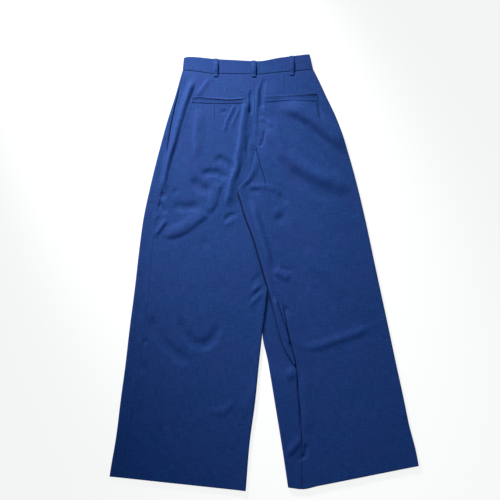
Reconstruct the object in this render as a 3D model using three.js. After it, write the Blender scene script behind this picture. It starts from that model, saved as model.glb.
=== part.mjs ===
import * as THREE from "three";

// Wide-legged trousers lying on their front, with the back up. Millimetres.
// X runs to the viewer's right, Y from the hems up to the waist, Z up from the floor.

// Cloth and seams
const CLOTH = 1.2;
const SEAM_GAP = 0.3;
const HEM_EXTRA = 0.5;
const HEM_DEPTH = 62;
const HEM_RAMP = 4;

// Stations along the garment: from the hem to the waist seam
const HEM_STATION = -550;
const WAIST_STATION = 500;
const CROTCH_STATION = 300;

// How far the waist seam's curve and the hem's slant reach into the rows
const WAIST_BEND_REACH = 120;
const HEM_BEND_REACH = 170;
const WAIST_RISE_START = 430;
const WAIST_RISE_END = 497;

// Heights above the floor
const BACK_HEIGHT = 4.2;
const BACK_HEIGHT_AT_WAIST = 5.7;
const FRONT_RISE_AT_WAIST = 1.8;
const LEAST_CLEARANCE = 0.35;
const EDGE_LIFT = 0.9;
const EDGE_LIFT_REACH = 24;

// Where the legs cross: the left leg lies between two layers of the right leg
const TUCK_HEIGHT = 3.4;
const TUCK_REACH = 32;
const OVERLAP_TOP = -60;
const OVERLAP_BOTTOM = -180;
const OVERLAP_LIFT = 1.2;
const OVERLAP_LIFT_REACH = 26;
const INNER_EDGE_SHARE = 0.8;
const FOLD_TOP = 286;
const FOLD_BOTTOM = -256;
const FOLD_CLEARANCE = 0.7;
const FOLD_BEAD = 0.6;
const FOLD_BLEND_WIDTH = 55;
const UNDER_FOLD = 13;
const FOLD_LEAST_WIDTH = 2;

// Across the fold, from its edge to the inseam: share of the width, and what the upper and
// lower faces add to their height
const FOLD_COLUMNS = [
  { share: 0, upper: -0.3, lower: 0.2 },
  { share: 0.14, upper: FOLD_BEAD, lower: 0 },
  { share: 0.4, upper: FOLD_BEAD / 2, lower: 0 },
  { share: 0.7, upper: 0, lower: 0 },
  { share: 1, upper: 0, lower: 0 },
];
const CROTCH_BEND_STATION = 270;
const CROTCH_CLEARANCE = 3;

// Bent edges
const BEND_STEPS = 4;
const RETURN_STEPS = 2;
const LEAST_BEND = 0.85;
const LEAST_TURN = 0.35;
const FLAT_TAIL = 0.8;

// Waistband
const BAND_CLOTH = 2.0;
const BAND_LOWER_MIDDLE = 2.8;
const BAND_UPPER_MIDDLE = 5.1;
const BAND_RUN_STEPS = 9;
const BAND_BACK_STEPS = 22;

// Across the band, from the waist seam to its top edge: place, and share of the full thickness
const BAND_ROWS = [
  { across: 0, thickness: 1 },
  { across: 0.5, thickness: 1 },
  { across: 0.97, thickness: 1 },
  { across: 1, thickness: 0.55 },
];

// Belt loops
const LOOP_WIDTH = 11;
const LOOP_CLOTH = 1.5;
const LOOP_BEVEL = 0.8;
const LOOP_ARCH = 1.3;
const LOOP_STEPS = 10;
const LOOP_RISE = { start: 0.08, end: 0.4 };
const LOOP_FALL = { start: 0.6, end: 0.92 };
const LOOP_RIM_SHARE = 0.55;
const LOOP_END_SHARE = 0.7;

// Welts of the back pockets
const WELT_HEIGHT = 9.5;
const WELT_CLOTH = 0.9;
const WELT_STEPS = 16;
const WELT_SHARES = [0, 0.12, 0.88, 1];
const RIM_SHARE = 0.6;

// Fly, on the hidden front
const FLY_WIDTH = 36;
const FLY_BOTTOM = 335;
const FLY_CLOTH = 1.0;
const FLY_RISE = 1.4;
const FLY_BLEND = 22;
const FLY_MARGINS = { left: 2, right: 4 };
const FLY_RAMP = { start: 60, end: 12 };
const FLY_STEPS = 9;
const FLY_ROUNDING = { start: 0.72, end: 1.02 };

// Pleats of the hidden front, two a side: where each folds, as a share of the panel from the centre
const PLEATS = [
  { start: 0.24, fold: 0.4, end: 0.415, depth: 1.0, length: 150 },
  { start: 0.415, fold: 0.56, end: 0.575, depth: 1.0, length: 110 },
];
const FRONT_COLUMNS = [0, 0.12, 0.24, 0.33, 0.4, 0.415, 0.5, 0.56, 0.575, 0.7, 0.85, 1];
const BACK_STEPS = 20;

// Rows of the walls: stations from, to, and the largest step between them
const ROW_BANDS = [
  { from: 500, to: 440, step: 15 },
  { from: 440, to: 400, step: 14 },
  { from: 400, to: 300, step: 25 },
  { from: 300, to: 240, step: 20 },
  { from: 240, to: 0, step: 30 },
  { from: 0, to: -60, step: 20 },
  { from: -60, to: -300, step: 30 },
  { from: -300, to: -550, step: 36 },
];

const named = (columns, rows) =>
  rows.map((row) => Object.fromEntries(columns.map((column, i) => [column, row[i]])));

// Edges and side seams of the legs. Above the crotch the inner columns are the centre seams.
const EDGES = named(
  ["station", "outerLeft", "seamLeft", "innerLeft", "innerRight", "inseamRight", "outerRight"],
  [
    [500, -213.5, -208.5, -22.5, -22.5, -22.5, 133.5],
    [440, -230, -223, -21, -21, -21, 163],
    [380, -248.5, -236.5, -20.3, -20.3, -20.3, 191.5],
    [300, -268.5, -248.5, -17.5, -17.5, -17.5, 216.5],
    [200, -290.5, -258, -9, -9, 6, 241.5],
    [100, -308.5, -274, -2, -2, 19.5, 262],
    [0, -318.5, -283.5, 5.5, 5.5, 32.5, 280],
    [-60, -323.5, -286.5, 9.5, 9.5, 41, 291],
    [-180, -335.5, -297, -3.5, -3.5, 61, 313],
    [-250, -341.5, -304.5, -11.5, 10, 77, 325.5],
    [-350, -352, -317.5, -22, 26.5, 87, 344],
    [-450, -361, -332, -36, 42.5, 91.5, 360],
    [-550, -372.5, -343, -44.6, 56.9, 90.5, 372.5],
  ],
);

// How far the back reaches round to the floor side at the outer right edge and the inner left edge
const RETURNS = named(
  ["station", "outerRight", "innerLeft"],
  [
    [500, 4, 0.8],
    [380, 12, 0.8],
    [280, 24, 0.8],
    [260, 25, 4],
    [200, 30, 22],
    [100, 33, 30],
    [-550, 30, 30],
  ],
);

// Fold edge of the right leg, where its cloth lies over the left leg
const FOLD_EDGE = named(
  ["station", "x"],
  [
    [298, -16.2],
    [244, -28],
    [213, -42.3],
    [186, -64.2],
    [150, -55],
    [114, -44.8],
    [54, -23],
    [-12, -4],
    [-61, 9.7],
    [-136, 28.2],
    [-210, 47.6],
    [-240, 62.3],
    [-260, 75.2],
  ],
);

const WAIST_SEAM = named(
  ["x", "y"],
  [[-213, 510], [-194, 508.6], [-128, 500.2], [-74, 499.4], [-13, 498.8], [45, 504.4], [134, 512]],
);
const BAND_TOP = named(
  ["x", "y"],
  [[-211, 545.3], [-195, 547.6], [-123, 541.1], [-75, 538.3], [-13, 535.4], [46, 545.3], [125, 555.3]],
);
const BAND_ENDS = { leftSeam: -213.5, leftTop: -211, rightSeam: 133.5, rightTop: 124.8 };
const LEFT_HEM = named(["x", "y"], [[-372.2, -521.9], [-44.6, -555.3]]);
const RIGHT_HEM = named(
  ["x", "y"],
  [[56.9, -547.2], [90.5, -551.1], [130, -543.6], [230, -524.7], [372.9, -497.6]],
);

// Largest folds: height, and reach on the lit side and on the shaded side of the crest.
// Each crest runs with its lit side on the right hand.
const FOLDS = [
  {
    name: "ridge beside the left pocket", height: 4.4, lit: 18, shaded: 20,
    crest: [[-181, 486], [-206, 411], [-224, 343], [-248, 245], [-260, 176]],
  },
  {
    name: "ridge left of the centre seam", height: 2.3, lit: 24, shaded: 20,
    crest: [[-34, 432], [-48, 360], [-56, 279], [-72, 215], [-86, 138]],
  },
  {
    name: "drag line across the right seat", height: -1.1, lit: 26, shaded: 28,
    crest: [[205, 234], [165, 262], [100, 322], [40, 376], [8, 398]],
  },
  {
    name: "swell under the drag line", height: 1.7, lit: 30, shaded: 26,
    crest: [[190, 200], [130, 228], [80, 250], [50, 285], [14, 346]],
  },
  {
    name: "drag line across the right thigh", height: -0.8, lit: 20, shaded: 24,
    crest: [[224, 168], [185, 186], [147, 202], [64, 240]],
  },
  {
    name: "crease across the right knee", height: 2.0, lit: 18, shaded: 18,
    crest: [[262, -166], [202, -190], [140, -210], [96, -216]],
  },
  {
    name: "swell down the right thigh", height: 1.2, lit: 32, shaded: 32,
    crest: [[93, 28], [143, -23], [204, -99]],
  },
  {
    name: "hollow at the left knee", height: -0.9, lit: 22, shaded: 22,
    crest: [[-122, -198], [-151, -215], [-179, -205], [-202, -168]],
  },
  {
    name: "hollow at the left calf", height: -0.9, lit: 20, shaded: 22,
    crest: [[-171, -259], [-213, -235], [-246, -210], [-269, -173], [-280, -124]],
  },
  {
    name: "swell down the left shin", height: 1.1, lit: 28, shaded: 26,
    crest: [[-307, -259], [-280, -343], [-242, -415]],
  },
  {
    name: "swell inside the left calf", height: 1.4, lit: 22, shaded: 22,
    crest: [[-17, -295], [-34, -343], [-59, -379]],
  },
  {
    name: "crease down the left thigh", height: -0.9, lit: 16, shaded: 16,
    crest: [[-112, 198], [-122, 159], [-140, 104]],
  },
  {
    name: "swell at the left hip seam", height: 1.2, lit: 16, shaded: 16,
    crest: [[-176, 114], [-214, 85], [-252, 75]],
  },
  {
    name: "swell along the lower right inseam", height: 1.2, lit: 14, shaded: 22,
    crest: [[94, -262], [99, -300], [101, -350], [104, -430]],
  },
];
const FOLD_FADE = 28;
const WAIST_FADE = 26;

const BELT_LOOPS = [
  { name: "belt_loop_back_left", x: -125.5, top: 541.7, bottom: 491.6, onBack: true },
  { name: "belt_loop_back_centre", x: -24.8, top: 536.3, bottom: 491.4, onBack: true },
  { name: "belt_loop_back_right", x: 76.5, top: 549.5, bottom: 496, onBack: true },
  { name: "belt_loop_front_left", x: -150, top: 543.4, bottom: 496, onBack: false },
  { name: "belt_loop_front_right", x: 92, top: 550.9, bottom: 501, onBack: false },
];

const lerp = (a, b, t) => a + (b - a) * t;

function smooth(from, to, x) {
  const t = Math.min(Math.max((x - from) / (to - from), 0), 1);
  return t * t * (3 - 2 * t);
}

// One at zero, falling softly to nothing at a distance of one
function bump(distance) {
  const d = Math.min(Math.abs(distance), 1);
  return 0.5 * (1 + Math.cos(Math.PI * d));
}

// Smooth curve through a table's rows that never swings past them
function curve(rows, along, column, at) {
  const points = rows.map((row) => [row[along], row[column]]).sort((a, b) => a[0] - b[0]);
  const last = points.length - 1;
  if (at <= points[0][0]) return points[0][1];
  if (at >= points[last][0]) return points[last][1];
  const slope = (i) => (points[i + 1][1] - points[i][1]) / (points[i + 1][0] - points[i][0]);
  const tangent = (i) => {
    if (i === 0) return slope(0);
    if (i === last) return slope(last - 1);
    const before = slope(i - 1);
    const after = slope(i);
    return before * after <= 0 ? 0 : (2 * before * after) / (before + after);
  };
  let i = 0;
  while (at > points[i + 1][0]) i += 1;
  const width = points[i + 1][0] - points[i][0];
  const t = (at - points[i][0]) / width;
  const t2 = t * t;
  const t3 = t2 * t;
  return (
    (2 * t3 - 3 * t2 + 1) * points[i][1] +
    (t3 - 2 * t2 + t) * width * tangent(i) +
    (3 * t2 - 2 * t3) * points[i + 1][1] +
    (t3 - t2) * width * tangent(i + 1)
  );
}

const edgeAt = (column, station) => curve(EDGES, "station", column, station);
const returnAt = (column, station) => curve(RETURNS, "station", column, station);
const centreAt = (station) => edgeAt("innerLeft", Math.max(station, CROTCH_STATION));

function inseamAt(station) {
  return station >= CROTCH_STATION ? edgeAt("innerLeft", station) : edgeAt("inseamRight", station);
}

// The two legs touch down to where they part
function innerRightAt(station) {
  return station >= OVERLAP_BOTTOM ? edgeAt("innerLeft", station) : edgeAt("innerRight", station);
}

// Real place along the garment: stations bend to follow the waist seam and the hems
function yAt(x, station) {
  const hem = x < 10 ? curve(LEFT_HEM, "x", "y", x) : curve(RIGHT_HEM, "x", "y", x);
  const atWaist = smooth(WAIST_STATION - WAIST_BEND_REACH, WAIST_STATION, station);
  const atHem = 1 - smooth(HEM_STATION, HEM_STATION + HEM_BEND_REACH, station);
  const waistShift = curve(WAIST_SEAM, "x", "y", x) - WAIST_STATION;
  return station + waistShift * atWaist + (hem - HEM_STATION) * atHem;
}

// Height that one fold adds at a point
function foldHeight(fold, x, y) {
  let best = { distance: Infinity, signed: 0, walked: 0 };
  let walked = 0;
  for (let i = 0; i + 1 < fold.crest.length; i += 1) {
    const [ax, ay] = fold.crest[i];
    const [bx, by] = fold.crest[i + 1];
    const length = Math.hypot(bx - ax, by - ay);
    const t = Math.min(Math.max(((x - ax) * (bx - ax) + (y - ay) * (by - ay)) / length ** 2, 0), 1);
    const distance = Math.hypot(x - lerp(ax, bx, t), y - lerp(ay, by, t));
    if (distance < best.distance) {
      const turned = (bx - ax) * (y - ay) - (by - ay) * (x - ax);
      best = { distance, signed: turned > 0 ? distance : -distance, walked: walked + t * length };
    }
    walked += length;
  }
  const reach = best.signed > 0 ? fold.shaded : fold.lit;
  const ends = smooth(0, FOLD_FADE, best.walked) * smooth(0, FOLD_FADE, walked - best.walked);
  return fold.height * bump(best.distance / reach) * ends;
}

// Lower face of the front, which lies on the floor: pleats, fly and waist lift it a little
function frontRise(x, station) {
  const centre = centreAt(station);
  const left = x < centre;
  const outer = left
    ? edgeAt("outerLeft", station)
    : edgeAt("outerRight", station) - returnAt("outerRight", station);
  const share = (x - centre) / (outer - centre);
  let pleat = 0;
  for (const row of PLEATS) {
    const along = smooth(WAIST_STATION - row.length, WAIST_STATION - 15, station);
    if (share > row.start && share <= row.fold) {
      pleat += (row.depth * along * (share - row.start)) / (row.fold - row.start);
    } else if (share > row.fold && share < row.end) {
      pleat += (row.depth * along * (row.end - share)) / (row.end - row.fold);
    }
  }
  const waist = FRONT_RISE_AT_WAIST * smooth(WAIST_RISE_START, WAIST_RISE_END, station);
  const right = centre + FLY_WIDTH + FLY_MARGINS.right;
  const beside = Math.max(centre - FLY_MARGINS.left - x, x - right, 0);
  const along = smooth(FLY_BOTTOM - FLY_RAMP.start, FLY_BOTTOM - FLY_RAMP.end, station);
  const fly = FLY_RISE * along * bump(beside / FLY_BLEND);
  return Math.max(waist, fly) + pleat;
}

// Upper face of the back, with its folds
function backTop(x, station) {
  const y = yAt(x, station);
  const toWaist = smooth(WAIST_RISE_START, WAIST_RISE_END, station);
  const base = lerp(BACK_HEIGHT, BACK_HEIGHT_AT_WAIST, toWaist);
  const fade = smooth(0, WAIST_FADE, WAIST_STATION - station);
  let relief = 0;
  for (const fold of FOLDS) relief += foldHeight(fold, x, y);
  const toEdge = Math.min(x - edgeAt("outerLeft", station), edgeAt("outerRight", station) - x);
  relief += EDGE_LIFT * bump(Math.max(toEdge, 0) / EDGE_LIFT_REACH);
  const floor = frontRise(x, station) + CLOTH + CLOTH + LEAST_CLEARANCE;
  return Math.max(base + relief * fade, floor);
}

// Left back: pressed down where it is tucked under the fold, lifted where it lies over the right leg
function backLeftTop(x, station) {
  const toInner = edgeAt("innerLeft", station) - x;
  const belowCrotch = 1 - smooth(CROTCH_STATION - 15, CROTCH_STATION + 10, station);
  const tucked = smooth(OVERLAP_TOP - 30, OVERLAP_TOP + 10, station) * belowCrotch;
  const free = 1 - smooth(OVERLAP_TOP - 30, OVERLAP_TOP + 10, station);
  const height = backTop(x, station);
  const pressed = lerp(height, TUCK_HEIGHT, tucked * bump(Math.max(toInner, 0) / TUCK_REACH));
  return pressed + OVERLAP_LIFT * free * bump(Math.max(toInner, 0) / OVERLAP_LIFT_REACH);
}

// Right back: lifted beside the fold that lies over the left leg
function backRightTop(x, station) {
  const fromInseam = Math.max(x - inseamAt(station), 0);
  const along = (1 - smooth(276, 306, station)) * smooth(-286, -236, station);
  const lift = FOLD_CLEARANCE + CLOTH;
  return backTop(x, station) + lift * along * bump(fromInseam / FOLD_BLEND_WIDTH);
}

// Right front where it comes round to the top: low while it lies under the fold
function frontRightTop(x, station) {
  const free = 1 - smooth(-296, -238, station);
  const toInner = Math.max(x - innerRightAt(station), 0);
  const edge = INNER_EDGE_SHARE * EDGE_LIFT * bump(toInner / EDGE_LIFT_REACH);
  return lerp(TUCK_HEIGHT, backTop(x, station), free) + edge * free;
}

// The hem is turned up inside, so the wall is thicker there
function hemExtra(station) {
  const hemTop = HEM_STATION + HEM_DEPTH;
  return HEM_EXTRA * (1 - smooth(hemTop - HEM_RAMP, hemTop + HEM_RAMP, station));
}

function stations() {
  const list = [ROW_BANDS[0].from];
  for (const band of ROW_BANDS) {
    const steps = Math.ceil((band.from - band.to) / band.step);
    for (let i = 1; i <= steps; i += 1) list.push(lerp(band.from, band.to, i / steps));
  }
  return list;
}
const STATIONS = stations();

// Real Y of a row's points, kept clear of the waist seam at the very top
const rowY = (x, station) => yAt(x, station) - (station === WAIST_STATION ? SEAM_GAP / 2 : 0);

// Closed wall between an outer and an inner grid of points
function wall(name, outer, inner, material) {
  const rows = outer.length;
  const columns = outer[0].length;
  const points = [...outer.flat(), ...inner.flat()];
  const offset = rows * columns;
  const at = (i, j, face) => face * offset + i * columns + j;
  const faces = [];
  const quad = (a, b, c, d) => faces.push([a, b, c], [a, c, d]);
  for (let i = 0; i + 1 < rows; i += 1) {
    for (let j = 0; j + 1 < columns; j += 1) {
      quad(at(i, j, 0), at(i, j + 1, 0), at(i + 1, j + 1, 0), at(i + 1, j, 0));
      quad(at(i + 1, j, 1), at(i + 1, j + 1, 1), at(i, j + 1, 1), at(i, j, 1));
    }
  }
  for (let i = 0; i + 1 < rows; i += 1) {
    quad(at(i, 0, 1), at(i, 0, 0), at(i + 1, 0, 0), at(i + 1, 0, 1));
    quad(at(i, columns - 1, 0), at(i, columns - 1, 1), at(i + 1, columns - 1, 1), at(i + 1, columns - 1, 0));
  }
  for (let j = 0; j + 1 < columns; j += 1) {
    quad(at(0, j, 1), at(0, j + 1, 1), at(0, j + 1, 0), at(0, j, 0));
    quad(at(rows - 1, j, 0), at(rows - 1, j + 1, 0), at(rows - 1, j + 1, 1), at(rows - 1, j, 1));
  }
  let volume = 0;
  for (const [a, b, c] of faces) {
    const pa = new THREE.Vector3(...points[a]);
    const pb = new THREE.Vector3(...points[b]);
    volume += pa.dot(pb.cross(new THREE.Vector3(...points[c])));
  }
  const index = volume > 0 ? faces.flat() : faces.map(([a, b, c]) => [a, c, b]).flat();
  const geometry = new THREE.BufferGeometry();
  geometry.setAttribute("position", new THREE.Float32BufferAttribute(points.flat(), 3));
  geometry.setIndex(index);
  geometry.computeVertexNormals();
  const mesh = new THREE.Mesh(geometry, material.clone());
  mesh.name = name;
  return mesh;
}

// A panel with one edge bent round to the other layer.
// side: which way its bent edge faces; up: 1 if its main part lies on the floor, -1 if on top.
function wrappedPanel(spec) {
  const { side, up, mainEnd, edge, returnEnd, turn, columns, mainTop, otherTop } = spec;
  const outer = [];
  const inner = [];
  for (const station of STATIONS) {
    const edgeX = edge(station);
    const turned = turn(station);
    const apart = (otherTop(edgeX, station) - mainTop(edgeX, station)) * up;
    const bend = Math.max(apart / 2, LEAST_BEND);
    const angle = Math.PI * turned;
    const arc = Math.PI * bend * Math.max(turned, LEAST_TURN);
    const tail = [];
    for (let j = 1; j <= BEND_STEPS; j += 1) {
      const theta = (angle * j) / BEND_STEPS;
      const along = (arc * j) / BEND_STEPS;
      const radius = angle > 0 ? arc / angle : Infinity;
      const dx = angle > 0 ? radius * Math.sin(theta) : along;
      const dz = angle > 0 ? radius * (1 - Math.cos(theta)) : 0;
      tail.push({ dx, dz, theta, returned: false });
    }
    const farthest = Math.max(...tail.map((p) => p.dx + (CLOTH / 2) * Math.sin(p.theta)));
    const full = turned === 1;
    const rest = full ? 0 : FLAT_TAIL;
    const start = edgeX - side * (farthest + rest * Math.max(Math.cos(angle), 0));
    const scale = full ? ((otherTop(start, station) - mainTop(start, station)) * up) / (2 * bend) : 1;
    const last = tail[BEND_STEPS - 1];
    const end = full ? returnEnd(station) : 0;
    for (let k = 1; k <= RETURN_STEPS; k += 1) {
      const share = k / RETURN_STEPS;
      const dx = full ? lerp(last.dx, (end - start) * side, share) : last.dx + Math.cos(angle) * rest * share;
      tail.push({ dx, dz: last.dz + Math.sin(angle) * rest * share, theta: angle, returned: full });
    }
    const outerRow = [];
    const innerRow = [];
    const add = (x, z, theta) => {
      const y = rowY(x, station);
      const nx = side * Math.sin(theta);
      const nz = -up * Math.cos(theta);
      const inside = CLOTH / 2 + hemExtra(station);
      outerRow.push([x + (nx * CLOTH) / 2, y, z + (nz * CLOTH) / 2]);
      innerRow.push([x - nx * inside, y, z - nz * inside]);
    };
    for (const share of columns) {
      const x = lerp(mainEnd(station), start, share);
      add(x, mainTop(x, station) - CLOTH / 2, 0);
    }
    const zStart = mainTop(start, station) - CLOTH / 2;
    for (const point of tail) {
      const x = start + side * point.dx;
      const z = point.returned ? otherTop(x, station) - CLOTH / 2 : zStart + up * point.dz * scale;
      add(x, z, point.theta);
    }
    outer.push(outerRow);
    inner.push(innerRow);
  }
  return { outer, inner, mainCount: columns.length };
}

const backColumns = Array.from({ length: BACK_STEPS + 1 }, (_, i) => i / BACK_STEPS);
const frontTop = (x, station) => frontRise(x, station) + CLOTH;
const always = () => 1;

const backLeft = wrappedPanel({
  side: 1,
  up: -1,
  mainEnd: (s) => edgeAt("seamLeft", s) + SEAM_GAP / 2,
  edge: (s) => edgeAt("innerLeft", s) - (s >= CROTCH_STATION ? SEAM_GAP / 2 : 0),
  returnEnd: (s) => edgeAt("innerLeft", s) - returnAt("innerLeft", s),
  turn: (s) => (s >= CROTCH_STATION ? 0 : s > CROTCH_BEND_STATION ? 0.5 : 1),
  columns: backColumns,
  mainTop: backLeftTop,
  otherTop: frontTop,
});

const frontLeft = wrappedPanel({
  side: -1,
  up: 1,
  mainEnd: (s) => {
    if (s >= CROTCH_STATION) return centreAt(s) - SEAM_GAP / 2;
    const clear = s > CROTCH_BEND_STATION ? CROTCH_CLEARANCE : returnAt("innerLeft", s) + SEAM_GAP;
    return edgeAt("innerLeft", s) - clear;
  },
  edge: (s) => edgeAt("outerLeft", s),
  returnEnd: (s) => edgeAt("seamLeft", s) - SEAM_GAP / 2,
  turn: always,
  columns: FRONT_COLUMNS,
  mainTop: frontTop,
  otherTop: backTop,
});

const backRight = wrappedPanel({
  side: 1,
  up: -1,
  mainEnd: (s) => inseamAt(s) + SEAM_GAP / 2,
  edge: (s) => edgeAt("outerRight", s),
  returnEnd: (s) => edgeAt("outerRight", s) - returnAt("outerRight", s),
  turn: always,
  columns: backColumns,
  mainTop: backRightTop,
  otherTop: frontTop,
});

const foldEdgeAt = (station) => curve(FOLD_EDGE, "station", "x", station);

const frontRight = wrappedPanel({
  side: -1,
  up: 1,
  mainEnd: (s) => edgeAt("outerRight", s) - returnAt("outerRight", s) - SEAM_GAP,
  edge: (s) => innerRightAt(s) + (s >= CROTCH_STATION ? SEAM_GAP / 2 : SEAM_GAP),
  returnEnd: (s) => {
    const inseam = inseamAt(s) - SEAM_GAP / 2;
    const underFold = Math.min(foldEdgeAt(s) + UNDER_FOLD, inseam);
    return s > FOLD_BOTTOM ? underFold : inseam;
  },
  turn: (s) => (s > -30 ? 0 : s > OVERLAP_TOP ? 0.5 : 1),
  columns: FRONT_COLUMNS.map((share) => 1 - share).reverse(),
  mainTop: frontTop,
  otherTop: frontRightTop,
});

// Point on a panel's outer face at a given x and station, between its own points
function onPanel(panel, x, station) {
  let i = 0;
  while (i + 2 < STATIONS.length && STATIONS[i + 1] > station) i += 1;
  const along = (STATIONS[i] - station) / (STATIONS[i] - STATIONS[i + 1]);
  const place = (row) => {
    const rising = row[1][0] > row[0][0];
    let j = 0;
    while (j + 2 < panel.mainCount && (rising ? row[j + 1][0] < x : row[j + 1][0] > x)) j += 1;
    const t = (x - row[j][0]) / (row[j + 1][0] - row[j][0]);
    return [lerp(row[j][1], row[j + 1][1], t), lerp(row[j][2], row[j + 1][2], t)];
  };
  const [ya, za] = place(panel.outer[i]);
  const [yb, zb] = place(panel.outer[i + 1]);
  return [x, lerp(ya, yb, along), lerp(za, zb, along)];
}

// Flat strip sewn on a panel, made from the panel's points moved out
function strip(panel, direction, rows, gap, thickness) {
  const outer = rows.map((row) =>
    row.map(({ x, station, rim }) => {
      const [px, py, pz] = onPanel(panel, x, station);
      return [px, py, pz + direction * (gap + thickness * (rim ? RIM_SHARE : 1))];
    }),
  );
  const inner = rows.map((row) =>
    row.map(({ x, station }) => {
      const [px, py, pz] = onPanel(panel, x, station);
      return [px, py, pz + direction * gap];
    }),
  );
  return { outer, inner };
}

const WELTS = [
  { name: "welt_back_left", panel: backLeft, from: -188, to: -45, top: [424, 426, 427.5] },
  { name: "welt_back_right", panel: backRight, from: -0.5, to: 142.5, top: [430, 432.5, 429] },
];

function weltRows(welt) {
  return WELT_SHARES.map((down) => {
    const row = [];
    for (let i = 0; i <= WELT_STEPS; i += 1) {
      const t = i / WELT_STEPS;
      const [start, middle, end] = welt.top;
      const top = t < 0.5 ? lerp(start, middle, t * 2) : lerp(middle, end, t * 2 - 1);
      const rim = down === 0 || down === 1 || i === 0 || i === WELT_STEPS;
      row.push({ x: lerp(welt.from, welt.to, t), station: top - down * WELT_HEIGHT, rim });
    }
    return row;
  });
}

// Fly: widest at the waist, its lower end rounded
function flyRows() {
  const rows = [];
  for (let i = 0; i <= FLY_STEPS; i += 1) {
    const t = i / FLY_STEPS;
    const station = lerp(WAIST_RISE_END, FLY_BOTTOM, t);
    const rounding = Math.sqrt(Math.max(1 - smooth(FLY_ROUNDING.start, FLY_ROUNDING.end, t) ** 2, 0));
    const centre = centreAt(station) + SEAM_GAP;
    const width = FLY_WIDTH * rounding;
    rows.push([0, 0.5, 1].map((share) => ({ x: centre + width * share, station, rim: false })));
  }
  return rows;
}

// Layer of the right leg that is folded over the left leg, from the crotch to the knee
function foldLayer() {
  const outer = [];
  const inner = [];
  const inside = STATIONS.filter((s) => s < FOLD_TOP && s > FOLD_BOTTOM);
  for (const station of [FOLD_TOP, ...inside, FOLD_BOTTOM]) {
    const from = foldEdgeAt(station);
    const to = Math.max(inseamAt(station) - SEAM_GAP / 2, from + FOLD_LEAST_WIDTH);
    const topRow = [];
    const underRow = [];
    for (const { share, upper, lower } of FOLD_COLUMNS) {
      const x = lerp(from, to, share);
      const z = backTop(x, station) + FOLD_CLEARANCE;
      topRow.push([x, yAt(x, station), z + CLOTH + upper]);
      underRow.push([x, yAt(x, station), z + lower]);
    }
    outer.push(topRow);
    inner.push(underRow);
  }
  return { outer, inner };
}

// Waistband: one strip round the waist, its two ends meeting at the centre of the front
function waistband() {
  const outer = [];
  const inner = [];
  const bend = (BAND_UPPER_MIDDLE - BAND_LOWER_MIDDLE) / 2;
  const reach = bend + BAND_CLOTH / 2;
  const centre = edgeAt("innerLeft", WAIST_STATION);
  for (const { across, thickness } of BAND_ROWS) {
    const left = lerp(BAND_ENDS.leftSeam, BAND_ENDS.leftTop, across);
    const right = lerp(BAND_ENDS.rightSeam, BAND_ENDS.rightTop, across);
    const line = [];
    for (let i = 0; i <= BAND_RUN_STEPS; i += 1) {
      const x = lerp(centre - SEAM_GAP / 2, left + reach, i / BAND_RUN_STEPS);
      line.push({ x, z: BAND_LOWER_MIDDLE, nx: 0, nz: -1 });
    }
    for (let j = 1; j < BEND_STEPS; j += 1) {
      const theta = (Math.PI * j) / BEND_STEPS;
      const x = left + reach - bend * Math.sin(theta);
      const z = BAND_LOWER_MIDDLE + bend * (1 - Math.cos(theta));
      line.push({ x, z, nx: -Math.sin(theta), nz: -Math.cos(theta) });
    }
    for (let i = 0; i <= BAND_BACK_STEPS; i += 1) {
      const x = lerp(left + reach, right - reach, i / BAND_BACK_STEPS);
      line.push({ x, z: BAND_UPPER_MIDDLE, nx: 0, nz: 1 });
    }
    for (let j = 1; j < BEND_STEPS; j += 1) {
      const theta = (Math.PI * j) / BEND_STEPS;
      const x = right - reach + bend * Math.sin(theta);
      const z = BAND_UPPER_MIDDLE - bend * (1 - Math.cos(theta));
      line.push({ x, z, nx: Math.sin(theta), nz: Math.cos(theta) });
    }
    for (let i = 0; i <= BAND_RUN_STEPS; i += 1) {
      const x = lerp(right - reach, centre + SEAM_GAP / 2, i / BAND_RUN_STEPS);
      line.push({ x, z: BAND_LOWER_MIDDLE, nx: 0, nz: -1 });
    }
    const half = (BAND_CLOTH / 2) * thickness;
    const yOf = (x) => {
      const seam = curve(WAIST_SEAM, "x", "y", x) + SEAM_GAP / 2;
      return lerp(seam, curve(BAND_TOP, "x", "y", x), across);
    };
    outer.push(line.map((p) => [p.x + p.nx * half, yOf(p.x), p.z + p.nz * half]));
    inner.push(line.map((p) => [p.x - p.nx * half, yOf(p.x), p.z - p.nz * half]));
  }
  return { outer, inner };
}

// Belt loop: a narrow strip over the waistband, arched away from it on the back
function beltLoop(loop) {
  const outer = [];
  const inner = [];
  const direction = loop.onBack ? 1 : -1;
  const bandFace = loop.onBack ? BAND_UPPER_MIDDLE + BAND_CLOTH / 2 : BAND_LOWER_MIDDLE - BAND_CLOTH / 2;
  const base = bandFace + direction * SEAM_GAP;
  const half = LOOP_WIDTH / 2;
  const across = [-half, -half + LOOP_BEVEL, 0, half - LOOP_BEVEL, half];
  for (let i = 0; i <= LOOP_STEPS; i += 1) {
    const t = i / LOOP_STEPS;
    const y = lerp(loop.top, loop.bottom, t);
    const rise = smooth(LOOP_RISE.start, LOOP_RISE.end, t);
    const fall = 1 - smooth(LOOP_FALL.start, LOOP_FALL.end, t);
    const arch = loop.onBack ? LOOP_ARCH * rise * fall : 0;
    const ends = i === 0 || i === LOOP_STEPS ? LOOP_END_SHARE : 1;
    const z = base + direction * arch;
    outer.push(across.map((dx) => {
      const rim = Math.abs(dx) === half ? LOOP_RIM_SHARE : 1;
      return [loop.x + dx, y, z + direction * LOOP_CLOTH * rim * ends];
    }));
    inner.push(across.map((dx) => [loop.x + dx, y, z]));
  }
  return { outer, inner };
}

const suiting = new THREE.MeshStandardMaterial({ color: 0x24427c, roughness: 0.9, metalness: 0 });
const trim = new THREE.MeshStandardMaterial({ color: 0x284a88, roughness: 0.9, metalness: 0 });

const trousers = new THREE.Group();
trousers.name = "double_pleated_trousers";

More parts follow.
